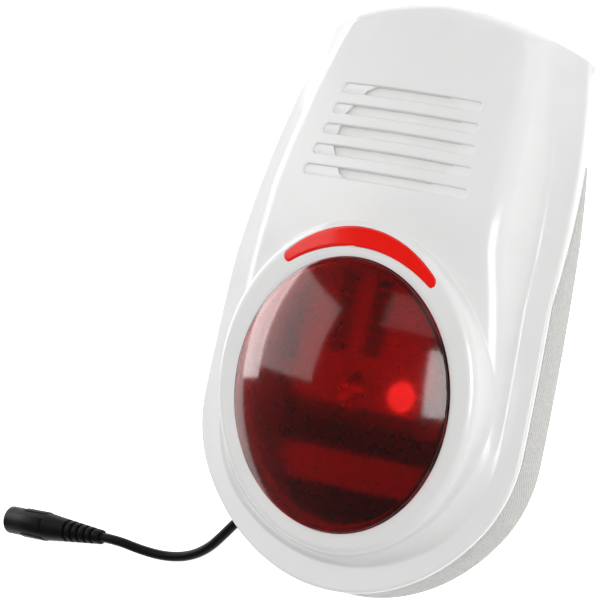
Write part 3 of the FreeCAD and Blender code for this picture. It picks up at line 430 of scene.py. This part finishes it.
def cover_shell():
    """Cover as one closed shell: outer face, rounded edge, skirt, inner face and lens opening."""
    outline = shield(RIM, 0.95)
    inward = inward_normals(outline)
    centre = np.array([0.0, LENS_Y])

    def hole_ring(radius, depth):
        angle = np.arctan2(outline[:, 1] - centre[1], outline[:, 0])
        local = [radius * np.cos(angle), radius * np.sin(angle), np.full(len(angle), depth)]
        return in_frame(LENS_FRAME, np.stack(local, 1))

    def surface_rings(inset, depth, count, **kind):
        start = hole_ring(HOLE_R + (0.0 if inset else HOLE_LIP), depth)[:, :2]
        rim = outline + inward * inset
        away = rim - centre
        ray = away / np.linalg.norm(away, axis=1, keepdims=True)
        oblique = -(ray * inward).sum(1, keepdims=True)
        band = 4.0 if inset else 6.0       # width of the close rings along the outer edge
        stop = rim - ray * band / oblique
        first = np.linalg.norm(start - centre, axis=1)
        disc_at = DISC_R - inset + DISC_SHIFT * ray[:, 1] - first
        bulge_at = ray_reach(centre, ray, BULGE_LINE) - inset - first
        features = [(disc_at, 2.6, 4.4, 4.0), (bulge_at, 9.0, 4.0, 2.6)]
        shares = ring_places(start, stop, features, count)
        places = [start + (stop - start) * shares[:, i:i + 1] for i in range(count)]
        turns = np.linspace(math.pi / 2, 0, 10 if inset else 18)[1:]
        places += [rim - ray * band * (1 - math.cos(a)) / oblique for a in turns]
        x = np.stack([p[:, 0] for p in places])
        y = np.stack([p[:, 1] for p in places])
        z = cover_height(x, y, inset, **kind)
        z = np.maximum(z, lower_edge(y) + 0.03)
        return [np.stack(row, 1) for row in zip(x, y, z)]

    rings = [hole_ring(HOLE_R, -WALL), hole_ring(HOLE_R, -WALL / 2), hole_ring(HOLE_R, -HOLE_LIP),
             hole_ring(HOLE_R + HOLE_LIP * 0.3, -HOLE_LIP * 0.3)]
    rings += surface_rings(0.0, 0.0, 110)

    # foot of the walls: the sides lean inward, and the end wall leans outward to the CAD outline
    x, y = outline[:, 0], outline[:, 1]
    low, edge, foot = lower_edge(y), rings[-1][:, 2], 0.2
    sidewards = np.clip((np.abs(inward[:, 0]) - 0.5) / 0.4, 0, 1)
    fade = np.clip((LEAN_FADE_Y + LEAN_FADE_RUN - y) / LEAN_FADE_RUN, 0, 1)
    lean = (BACK_INSET * sidewards * fade * (edge - low) / np.maximum(edge, 1.0))[:, None]
    arch_top, arch_r = OUTLINE[7:9]
    arch_y = arch_top - arch_r + np.sqrt(arch_r ** 2 - x ** 2)
    end_wall = (y > END_WALL_Y) & (inward[:, 1] < -0.25)
    forward = np.where(end_wall, np.maximum(arch_y - y, 0.0), 0.0)
    base_line = outline + np.stack([np.zeros_like(forward), forward], 1)
    rings.append(np.column_stack([base_line + inward * lean, np.minimum(low + foot, edge - 0.005)]))
    rings.append(np.column_stack([base_line + inward * (lean + foot), low]))
    rings.append(np.column_stack([base_line + inward * (WALL + lean * 0.8 - foot), low]))
    inner = surface_rings(WALL, -WALL, 55, shoulder=8.0, bezel=1.8)
    return grid_mesh("cover_shell", rings + inner[::-1])


cover = add("cover_shell", cover_shell())


# ---------------------------------------------------------------- openings in the cover

def prism_mesh(name, layers):
    """Closed mesh from stacked outlines of equal length, with strips across both ends."""
    count, around = len(layers), len(layers[0])
    faces = []
    for i in range(count - 1):
        for k in range(around):
            m = (k + 1) % around
            j = i + 1
            faces.append((i * around + k, i * around + m, j * around + m, j * around + k))
    for base, order in ((0, -1), ((count - 1) * around, 1)):
        for k in range(around // 2):
            strip = (k, k + 1, (around - k - 1) % around, (around - k) % around)
            strip = list(dict.fromkeys(strip))[::order]
            if len(strip) > 2:
                faces.append(tuple(base + place for place in strip))
    return mesh_of(name, np.concatenate(layers), faces)


def slot_outline(half, radius):
    """Round-ended slot, clockwise from its left tip, the same above and below its centre line."""
    run = half - radius
    turns = np.linspace(0, math.pi / 2, 9)[:-1]
    cap = [(-run - radius * math.cos(a), radius * math.sin(a)) for a in turns]
    top = [(x, radius) for x in np.linspace(-run, run, max(2, math.ceil(2 * run / SLOT_STEP)))]
    upper = cap + top + [(-x, y) for x, y in cap[::-1]]
    lower = [(x, -y) for x, y in upper[-2:0:-1]]
    return np.array(upper + lower)


def on_crown(points, depth):
    """Slot-frame points moved along the slot axis until they lie a depth under the crown."""
    local = np.column_stack([points, np.zeros(len(points))])
    axis = np.array(SLOT_FRAME.to_3x3() @ Vector((0, 0, 1)))
    for _ in range(6):
        world = in_frame(SLOT_FRAME, local)
        gap = crown(world[:, 0], world[:, 1]) - world[:, 2]
        local[:, 2] += gap * axis[2]
    local[:, 2] -= depth
    return in_frame(SLOT_FRAME, local)


# (growth of the outline, depth under the face) down a slot's rounded lip, wall and floor
LIP = ((0.60, -0.80), (0.52, 0.01), (0.30, 0.07), (0.12, 0.20), (0.03, 0.36), (0.0, 0.55))
SLOT_PROFILE = LIP + ((0.0, 0.95), (-0.07, 1.13), (-0.25, SLOT_BLIND))


def clip_strip(polygon, low, high):
    """Part of a convex polygon between two heights."""
    for sign, limit in ((1, low), (-1, -high)):
        kept = []
        for (x0, y0), (x1, y1) in zip(polygon, polygon[1:] + polygon[:1]):
            in0, in1 = sign * y0 >= limit, sign * y1 >= limit
            if in0:
                kept.append((x0, y0))
            if in0 != in1:
                t = (limit * sign - y0) / (y1 - y0)
                kept.append((x0 + t * (x1 - x0), y0 + t * (y1 - y0)))
        polygon = kept
    return polygon


def convex_prism(name, points, z0, z1, matrix):
    """Prism over a convex outline, each point given in a tilted frame."""
    count = len(points)
    low = in_frame(matrix, [(x, y, z0) for x, y in points])
    high = in_frame(matrix, [(x, y, z1) for x, y in points])
    faces = [tuple(range(count))[::-1], tuple(range(count, 2 * count))]
    faces += [(k, (k + 1) % count, count + (k + 1) % count, count + k) for k in range(count)]
    return mesh_of(name, np.concatenate([low, high]), faces)


def crescent_outline(grow):
    """Crescent of the window, grown outward, clockwise from its left tip, the same left and right."""
    r_out, r_in, r_end = ARC_OUT_R + grow, ARC_IN_R - grow, ARC_END_R + grow
    c_out, c_in = (0.0, ARC_OUT_Y), (0.0, ARC_IN_Y)
    end = circle_meet(c_in, r_in + r_end, c_out, r_out - r_end)
    a_out = math.atan2(end[1] - c_out[1], end[0] - c_out[0])
    a_in = math.atan2(end[1] - c_in[1], end[0] - c_in[0])
    outer = [polar(c_out, r_out, a) for a in np.linspace(math.pi - a_out, a_out, 81)]
    cap = [polar(end, r_end, a) for a in np.linspace(a_out, a_in - math.pi, 13)]
    inner = [polar(c_in, r_in, a) for a in np.linspace(a_in, math.pi - a_in, 81)]
    middle = len(cap) // 2
    above, below = cap[1:middle + 1], cap[middle + 1:-1]
    upper = [(-x, y) for x, y in above[::-1]] + outer + above
    lower = below + inner + [(-x, y) for x, y in below[::-1]]
    return np.array(upper + lower)


def crescent_layers(profile):
    """Stacked crescents over the lens's frame, one for each (growth, height)."""
    layers = []
    for grow, z in profile:
        outline = crescent_outline(grow)
        layers.append(in_frame(LENS_FRAME, np.column_stack([outline, np.full(len(outline), z)])))
    return layers


def cut(target, tools):
    """Cuts closed meshes out of a target and removes them."""
    for tool_mesh in tools:
        tool = add("cutter", tool_mesh)
        step = target.modifiers.new("cut", "BOOLEAN")
        step.operation = "DIFFERENCE"
        step.object = tool
        step.solver = "MANIFOLD"
        dg = bpy.context.evaluated_depsgraph_get()
        result = bpy.data.meshes.new_from_object(target.evaluated_get(dg))
        target.modifiers.clear()
        target.data = result
        bpy.data.objects.remove(tool)


def slot_cutters():
    """Blind slots with rounded lips, and the strips of them that open into the sound chamber."""
    tools = []
    corners = np.radians(np.arange(15, 375, 30))
    region = [(GRILLE_X * math.cos(a), GRILLE_Y * math.sin(a)) for a in corners]
    for i in range(SLOT_COUNT):
        row = i - (SLOT_COUNT - 1) / 2
        half, y = SLOT_HALF - SLOT_GROW * row, row * SLOT_PITCH
        radius = SLOT_WIDTH / 2
        layers = [on_crown(slot_outline(half + grow, radius + grow) + (0.0, y), depth)
                  for grow, depth in SLOT_PROFILE]
        tools.append(prism_mesh("slot", layers))
        strip = clip_strip(region, y - radius + 0.06, y + radius - 0.06)
        tools.append(convex_prism("slot_open", strip, -9.0, 5.0, SLOT_FRAME))
    return tools


WINDOW_GAP = 0.12
# (growth beyond the gap, height) down the window's opening
WINDOW_HOLE = ((0.32, 0.6), (0.28, -0.015), (0.12, -0.08), (0.03, -0.18), (0.0, -0.34), (0.0, -6.0))
window_hole = crescent_layers([(WINDOW_GAP + grow, z) for grow, z in WINDOW_HOLE])
cut(cover, slot_cutters() + [prism_mesh("window_hole", window_hole)])


# ---------------------------------------------------------------- lens and window

def lathe_rings(profile, around, matrix):
    """Rings turned from (radius, height) points about a frame's Z axis."""
    angles = np.linspace(0, 2 * math.pi, around, endpoint=False)
    circle = np.stack([np.cos(angles), np.sin(angles)], 1)
    return [in_frame(matrix, np.column_stack([r * circle, np.full(around, z)])) for r, z in profile]


def round_corner(before, corner, after, radius, steps=5):
    """Points of a rounded corner of a profile."""
    p0, p1, p2 = (np.array(p, float) for p in (before, corner, after))
    d0, d1 = (p0 - p1) / np.linalg.norm(p0 - p1), (p2 - p1) / np.linalg.norm(p2 - p1)
    half = math.acos(np.clip(d0 @ d1, -1, 1)) / 2
    reach = radius / math.tan(half)
    centre = p1 + (d0 + d1) / np.linalg.norm(d0 + d1) * radius / math.sin(half)
    start, stop = p1 + d0 * reach - centre, p1 + d1 * reach - centre
    turn = math.atan2(start[0] * stop[1] - start[1] * stop[0], start @ stop)
    found = []
    for i in range(steps + 1):
        a = turn * i / steps
        found.append(tuple(centre + (start[0] * math.cos(a) - start[1] * math.sin(a),
                                     start[0] * math.sin(a) + start[1] * math.cos(a))))
    return found


SPHERE_R = (LENS_R ** 2 + DOME_RISE ** 2) / (2 * DOME_RISE)
SPHERE_Z = LENS_RIM + DOME_RISE - SPHERE_R
LENS_THICK = 2.0


def dome_profile():
    """Outer face from the centre to the rim, flange, and inner face back to the centre."""
    def cap(radius, edge, count):
        stop = math.asin(edge / radius)
        angles = np.linspace(0.0, stop, count)
        return [(radius * math.sin(a), SPHERE_Z + radius * math.cos(a)) for a in angles]

    inside = LENS_R - LENS_THICK
    seat, seat_top, seat_low = LENS_R + 2.2, -3.0, -4.4
    outer = cap(SPHERE_R, LENS_R, 56)
    inner = cap(SPHERE_R - LENS_THICK, inside, 40)
    profile = outer[:-1] + round_corner(outer[-2], outer[-1], (LENS_R, -2.0), 0.55)
    profile += [(LENS_R, -0.6), (LENS_R, seat_top + 0.02)]
    profile += round_corner((LENS_R, seat_top), (seat, seat_top), (seat, seat_low), 0.25)
    profile += round_corner((seat, seat_top), (seat, seat_low), (inside, seat_low), 0.25)
    profile += round_corner((seat, seat_low), (inside, seat_low), (inside, 0.0), 0.25)
    profile += round_corner((inside, seat_low), inner[-1], inner[-2], 0.8)
    return profile + inner[-2::-1]


def dome_mesh():
    """Lens moulding turned about its own axis, with a fan of triangles at each apex."""
    profile = dome_profile()
    around = 256
    rings = lathe_rings(profile[1:-1], around, LENS_FRAME)
    apexes = in_frame(LENS_FRAME, [(0, 0, profile[0][1]), (0, 0, profile[-1][1])])
    points = np.concatenate(rings + [apexes])
    faces = []
    for i in range(len(rings) - 1):
        for k in range(around):
            m = (k + 1) % around
            j = i + 1
            faces.append((i * around + k, j * around + k, j * around + m, i * around + m))
    top, bottom, last = len(points) - 2, len(points) - 1, (len(rings) - 1) * around
    for k in range(around):
        m = (k + 1) % around
        faces.append((top, k, m))
        faces.append((bottom, last + m, last + k))
    return mesh_of("dome_lens_moulding", points, faces)


dome = add("dome_lens_moulding", dome_mesh())
WINDOW_BOW, WINDOW_LIFT = 700.0, 0.25      # radius of the window's slight arch across, and its rise
# (growth, height) up the window's wall and over its rounded edge
WINDOW_PROFILE = ((0.0, -1.6), (0.0, -WALL + 0.1), (0.0, 0.1), (-0.03, 0.24), (-0.12, 0.38),
                  (-0.26, 0.47), (-0.42, 0.5), (-0.9, 0.5))
lens_axis = np.array(LENS_FRAME.to_3x3() @ Vector((0, 0, 1)))
window_layers = [layer + lens_axis * (WINDOW_LIFT - layer[:, :1] ** 2 / (2 * WINDOW_BOW))
                 for layer in crescent_layers(WINDOW_PROFILE)]
window = add("arc_window_moulding", prism_mesh("arc_window_moulding", window_layers))


# ---------------------------------------------------------------- features inside the cover

def absorb(target, others):
    """Adds the meshes of other objects to a target and removes those objects."""
    merged = bmesh.new()
    merged.from_mesh(target.data)
    for other in others:
        merged.from_mesh(other.data)
        bpy.data.objects.remove(other)
    merged.to_mesh(target.data)
    merged.free()


def inner_block(name, x0, x1, y0, y1, z0, z1):
    """Upright block between two corners."""
    corners = [(x0, y0), (x1, y0), (x1, y1), (x0, y1)]
    return add(name, convex_prism(name, corners, z0, z1, Matrix.Identity(4)))


def tube(name, r_out, r_in, z0, z1, matrix):
    """Upright tube in a frame."""
    profile = [(r_in, z0), (r_out, z0), (r_out, z1), (r_in, z1)]
    return add(name, grid_mesh(name, lathe_rings(profile, 24, matrix)))


RING_BOSS_R, RING_BOSS_ANGLES = 51.7, (20, 160, 203, 337)
TAMPER_AT = (-40, 12)
SCREW_Z, SCREW_BORE_R = 7.4, 1.6

inner_features = []
for angle in RING_BOSS_ANGLES:
    place = Matrix.Translation((*polar((0, 0), RING_BOSS_R, math.radians(angle)), 0))
    inner_features.append(tube("ring_boss", 2.2, 1.05, -4.4, -1.9, LENS_FRAME @ place))
inner_features.append(tube("tamper_post", 2.2, 1.1, 14.6, 26.5, Matrix.Translation((*TAMPER_AT, 0))))
for x in (-9, 9):
    inner_features.append(inner_block("hook_lug", x - 4, x + 4, 95.4, 101.0, 0.6, 1.7))
tab = inner_block("screw_tab", -5, 5, -90, -87, 4.0, 19.0)
across = Matrix.Translation((0, -93, SCREW_Z)) @ Matrix.Rotation(math.radians(-90), 4, "X")
bore = [polar((0, 0), SCREW_BORE_R, a) for a in np.linspace(0, 2 * math.pi, 33)[:-1]]
cut(tab, [convex_prism("screw_bore", bore, 0.0, 9.0, across)])
absorb(cover, inner_features + [tab])

for made, node, colour in ((cover, "front_cover", "case_white_gloss"),
                           (dome, "dome_lens", "lens_dark_red"),
                           (window, "arc_window", "window_red")):
    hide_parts(node)
    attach(made, "cover")
    made.data.shade_smooth()
    made.data.set_sharp_from_angle(angle=math.radians(30))


# ---------------------------------------------------------------- materials

def principled(name, **values):
    """New material with its principled shader's own sockets set."""
    material = bpy.data.materials.new(name)
    material.use_nodes = True
    shader = material.node_tree.nodes["Principled BSDF"]
    for socket, value in values.items():
        shader.inputs[socket.replace("_", " ")].default_value = value
    return material, shader


def new_node(material, kind, **settings):
    """New shader node with its inputs or properties set."""
    made = material.node_tree.nodes.new(kind)
    for key, value in settings.items():
        if key in made.inputs:
            made.inputs[key].default_value = value
        else:
            setattr(made, key, value)
    return made


def link(material, source, output, target, socket):
    material.node_tree.links.new(source.outputs[output], target.inputs[socket])


def object_noise(material, scale, detail=2.0, stretch=(1, 1, 1)):
    """Noise over object coordinates, in features per metre."""
    place = new_node(material, "ShaderNodeTexCoord")
    mapping = new_node(material, "ShaderNodeMapping")
    mapping.inputs["Scale"].default_value = stretch
    noise = new_node(material, "ShaderNodeTexNoise", Scale=scale, Detail=detail)
    link(material, place, "Object", mapping, "Vector")
    link(material, mapping, "Vector", noise, "Vector")
    return noise


NOISE_LOW, NOISE_HIGH = 0.3, 0.7   # most of a noise lies between these


def vary(material, shader, socket, noise, low, high):
    """Drives a shader's number from a noise, between two values."""
    spread = new_node(material, "ShaderNodeMapRange")
    limits = {"From Min": NOISE_LOW, "From Max": NOISE_HIGH, "To Min": low, "To Max": high}
    for name, value in limits.items():
        spread.inputs[name].default_value = value
    link(material, noise, "Fac", spread, "Value")
    link(material, spread, "Result", shader, socket)


def tint(material, shader, noise, dark, light):
    """Drives a shader's colour from a noise, between two colours."""
    ramp = new_node(material, "ShaderNodeValToRGB")
    for stop, position, colour in zip(ramp.color_ramp.elements, (NOISE_LOW, NOISE_HIGH), (dark, light)):
        stop.position = position
        stop.color = (*colour, 1)
    link(material, noise, "Fac", ramp, "Fac")
    link(material, ramp, "Color", shader, "Base Color")


def bump(material, shader, height_nodes, distance):
    """Bumps from one or more (node, output) heights."""
    normal = None
    for source, output in height_nodes:
        made = new_node(material, "ShaderNodeBump", Strength=1.0, Distance=distance)
        link(material, source, output, made, "Height")
        if normal is not None:
            link(material, normal, "Normal", made, "Normal")
        normal = made
    link(material, normal, "Normal", shader, "Normal")


def moulded(name, dark, light, rough, grain_scale=2500.0, grain=2e-6, **values):
    """Moulded plastic: faint colour drift, uneven gloss and a fine skin."""
    material, shader = principled(name, **values)
    drift = object_noise(material, 60.0)
    tint(material, shader, drift, dark, light)
    vary(material, shader, "Roughness", object_noise(material, 240.0, 4.0), rough[0], rough[1])
    bump(material, shader, [(object_noise(material, grain_scale, 3.0), "Fac")], grain)
    return material


def hatched(name, dark, light, rough, pitch, depth):
    """Moulded plastic with a fine cross-hatched skin."""
    material, shader = principled(name)
    tint(material, shader, object_noise(material, 900.0, 3.0), dark, light)
    vary(material, shader, "Roughness", object_noise(material, 240.0, 4.0), rough[0], rough[1])
    heights = [(object_noise(material, 2400.0, 3.0), "Fac")]
    for turn in (1, -1):
        place = new_node(material, "ShaderNodeTexCoord")
        mapping = new_node(material, "ShaderNodeMapping")
        mapping.inputs["Scale"].default_value = (turn, 1, turn)
        wave = new_node(material, "ShaderNodeTexWave", wave_type="BANDS", bands_direction="DIAGONAL",
                        Scale=0.628 / pitch, Distortion=0.6)
        link(material, place, "Object", mapping, "Vector")
        link(material, mapping, "Vector", wave, "Vector")
        heights.append((wave, "Fac"))
    bump(material, shader, heights, depth)
    return material


def metal(name, dark, light, rough, stretch=(1, 1, 1), scale=900.0, grain=3e-6):
    """Bare or plated metal with faint brush marks."""
    material, shader = principled(name, Metallic=1.0)
    marks = object_noise(material, scale, 3.0, stretch)
    tint(material, shader, marks, dark, light)
    vary(material, shader, "Roughness", marks, rough[0], rough[1])
    bump(material, shader, [(marks, "Fac")], grain)
    return material


def grey(value):
    return (value, value, value)


# name, darker and lighter colour, roughness from and to, grain per metre, grain depth in metres
gloss_white = moulded("gloss_white_abs", (0.83, 0.83, 0.825), (0.85, 0.85, 0.845),
                      (0.16, 0.24), 900.0, 4e-6)
textured_white = hatched("textured_white_abs", (0.50, 0.495, 0.48), (0.58, 0.575, 0.56),
                         (0.45, 0.58), 0.0016, 1.4e-4)
inner_white = moulded("inner_white_abs", (0.78, 0.78, 0.77), (0.82, 0.82, 0.81),
                      (0.34, 0.45), 1500.0, 8e-6)
LENS_COLOURS = (0.66, 0.014, 0.014), (0.69, 0.018, 0.018)
CLEAR = {"Transmission_Weight": 1.0, "IOR": 1.49}
lens_red = moulded("dark_red_lens", *LENS_COLOURS, (0.08, 0.11), 500.0, 2e-6, **CLEAR)
lens_inner = moulded("dark_red_lens_inside", *LENS_COLOURS, (0.26, 0.30), 500.0, 2e-6, **CLEAR)
window_red = moulded("bright_red_window", (0.88, 0.007, 0.003), (0.92, 0.010, 0.004),
                     (0.07, 0.12), 700.0, 2e-6)
DULL = {"Specular_IOR_Level": 0.12}
rubber_black = moulded("black_rubber", grey(0.006), grey(0.009), (0.45, 0.6), 2600.0, 1.2e-5, **DULL)
cord_black = moulded("black_pvc", grey(0.004), grey(0.006), (0.36, 0.48), 1800.0, 8e-6, **DULL)
socket_black = moulded("black_moulded_pvc", grey(0.003), grey(0.005), (0.4, 0.52), 2200.0, 2.5e-5, **DULL)
chip_black = moulded("chip_epoxy", grey(0.018), grey(0.03), (0.5, 0.62), 3000.0, 8e-6)
steel = metal("zinc_plated_steel", grey(0.55), grey(0.7), (0.24, 0.36))
brass = metal("brass", (0.66, 0.47, 0.2), (0.76, 0.57, 0.28), (0.24, 0.36))
nickel = metal("nickel", grey(0.6), grey(0.74), (0.16, 0.28))
tin = metal("tinned_shield", grey(0.6), grey(0.72), (0.3, 0.42), (1, 6, 1))
chrome = metal("aluminised_reflector", grey(0.8), grey(0.9), (0.06, 0.12))
board_green = moulded("green_solder_mask", (0.01, 0.09, 0.03), (0.015, 0.13, 0.045),
                      (0.26, 0.36), 1500.0, 5e-6)
board_white = moulded("white_solder_mask", (0.7, 0.7, 0.68), (0.76, 0.76, 0.74),
                      (0.3, 0.4), 1500.0, 5e-6)
nylon = moulded("cream_nylon", (0.7, 0.68, 0.6), (0.76, 0.74, 0.66), (0.36, 0.46))
sleeve = moulded("capacitor_sleeve", (0.012, 0.02, 0.06), (0.02, 0.03, 0.08), (0.24, 0.34))
battery_skin = moulded("battery_shrink_wrap", (0.02, 0.06, 0.16), (0.03, 0.08, 0.2),
                       (0.24, 0.36), 260.0, 5e-5)
button_black = moulded("button_black", grey(0.02), grey(0.03), (0.34, 0.44))
button_red = moulded("button_red", (0.5, 0.02, 0.015), (0.58, 0.03, 0.02), (0.3, 0.4))
button_white = moulded("button_white", grey(0.7), grey(0.76), (0.3, 0.4))
wire_red = moulded("red_wire", (0.5, 0.015, 0.01), (0.58, 0.02, 0.015), (0.34, 0.44))
lamp_clear = moulded("lamp_bright", (0.85, 0.85, 0.8), (0.9, 0.9, 0.86), (0.1, 0.2),
                     Emission_Color=(1, 0.9, 0.8, 1), Emission_Strength=1.0)

NODE_FINISH = {
    "base_shell": textured_white, "cord_grommet": rubber_black, "cover_screw": steel,
    "sound_baffle": inner_white, "lens_gasket": rubber_black, "lens_retainer": inner_white,
    "lens_screws": steel,
    "lamp_board": board_white, "lamp_spacers": brass, "lamp_screws": steel, "lamp_chips": chip_black,
    "strobe_lamp": lamp_clear, "strobe_reflector": chrome, "arc_lights": lamp_clear,
    "main_board": board_green, "board_screws": steel, "radio_module": tin, "antenna_coil": brass,
    "controller_chips": chip_black, "boost_coil": chip_black, "capacitors": sleeve,
    "wire_headers": nylon, "battery_lead": wire_red, "siren_lead": wire_red,
    "siren_housing": button_black, "piezo_disc": brass, "siren_front": button_black,
    "siren_screws": steel, "battery_pack": battery_skin, "battery_strap": steel,
    "strap_screws": steel,
    "power_switch_body": button_black, "power_switch_slider": button_red,
    "learn_button_body": button_black, "learn_button_cap": button_red,
    "tamper_switch_body": button_black, "tamper_plunger": button_white,
    "socket_body": socket_black, "socket_sleeve": socket_black, "socket_pin": nickel,
}


def finish_with(obj, material):
    """Gives an object one material."""
    obj.data.materials.clear()
    obj.data.materials.append(material)


EDGE_ROUNDING = 0.00018


def soften_edges(obj, width):
    """Small rounded edges on a part taken over from the CAD model."""
    weld = obj.modifiers.new("weld", "WELD")
    weld.merge_threshold = 1e-6
    rounding = obj.modifiers.new("rounding", "BEVEL")
    rounding.width = width
    rounding.segments = 2
    rounding.limit_method = "ANGLE"
    rounding.angle_limit = math.radians(40)


for node, material in NODE_FINISH.items():
    finish_with(nodes[node], material)
for node in ("base_shell", "socket_body", "cord_grommet"):
    soften_edges(nodes[node], EDGE_ROUNDING)
finish_with(cover, gloss_white)
finish_with(dome, lens_red)
dome.data.materials.append(lens_inner)
for face in dome.data.polygons:    # the inside is duller than the outside
    face.material_index = 1 if face.normal.z < -0.1 else 0
finish_with(window, window_red)
finish_with(dc_lead, cord_black)


# ---------------------------------------------------------------- floor and light

FLOOR_HALF = 2.5
CORNERS = ((-1, -1), (1, -1), (1, 1), (-1, 1))
floor_mesh = bpy.data.meshes.new("floor")
floor_mesh.from_pydata([(x * FLOOR_HALF, y * FLOOR_HALF, 0) for x, y in CORNERS], [], [(0, 1, 2, 3)])
floor = add("floor", floor_mesh)
floor_white, _ = principled("floor_white", Base_Color=(0.9, 0.9, 0.9, 1), Roughness=0.8,
                            Emission_Color=(1, 1, 1, 1), Emission_Strength=0.75)
finish_with(floor, floor_white)

world = bpy.data.worlds.new("studio")
world.use_nodes = True
world.node_tree.nodes["Background"].inputs["Color"].default_value = (0.13, 0.13, 0.13, 1)
scene.world = world


def softbox(name, azimuth, elevation, distance, width, height, power):
    """Rectangular light aimed at the case from a direction given in degrees from +X."""
    light = bpy.data.lights.new(name, "AREA")
    light.shape = "RECTANGLE"
    light.size, light.size_y = width, height
    light.energy = power
    a, e = math.radians(azimuth), math.radians(elevation)
    away = Vector((math.cos(a) * math.cos(e), math.sin(a) * math.cos(e), math.sin(e)))
    made = bpy.data.objects.new(name, light)
    made.location = away * distance
    made.rotation_euler = away.to_track_quat("Z", "Y").to_euler()
    scene.collection.objects.link(made)


# name, azimuth, elevation, distance, width, height, watts
softbox("left_box", 170, 31, 1.1, 0.55, 0.75, 2.3)
softbox("low_box", 168, 7, 1.2, 0.8, 0.3, 3.6)
softbox("top_box", 92, 63, 1.4, 0.7, 0.35, 0.5)
softbox("key_box", 6, 64, 1.8, 0.9, 0.9, 20)
softbox("front_box", -50, 32, 1.5, 0.9, 0.9, 1.0)
softbox("right_box", 75, 34, 1.5, 0.9, 0.9, 3)
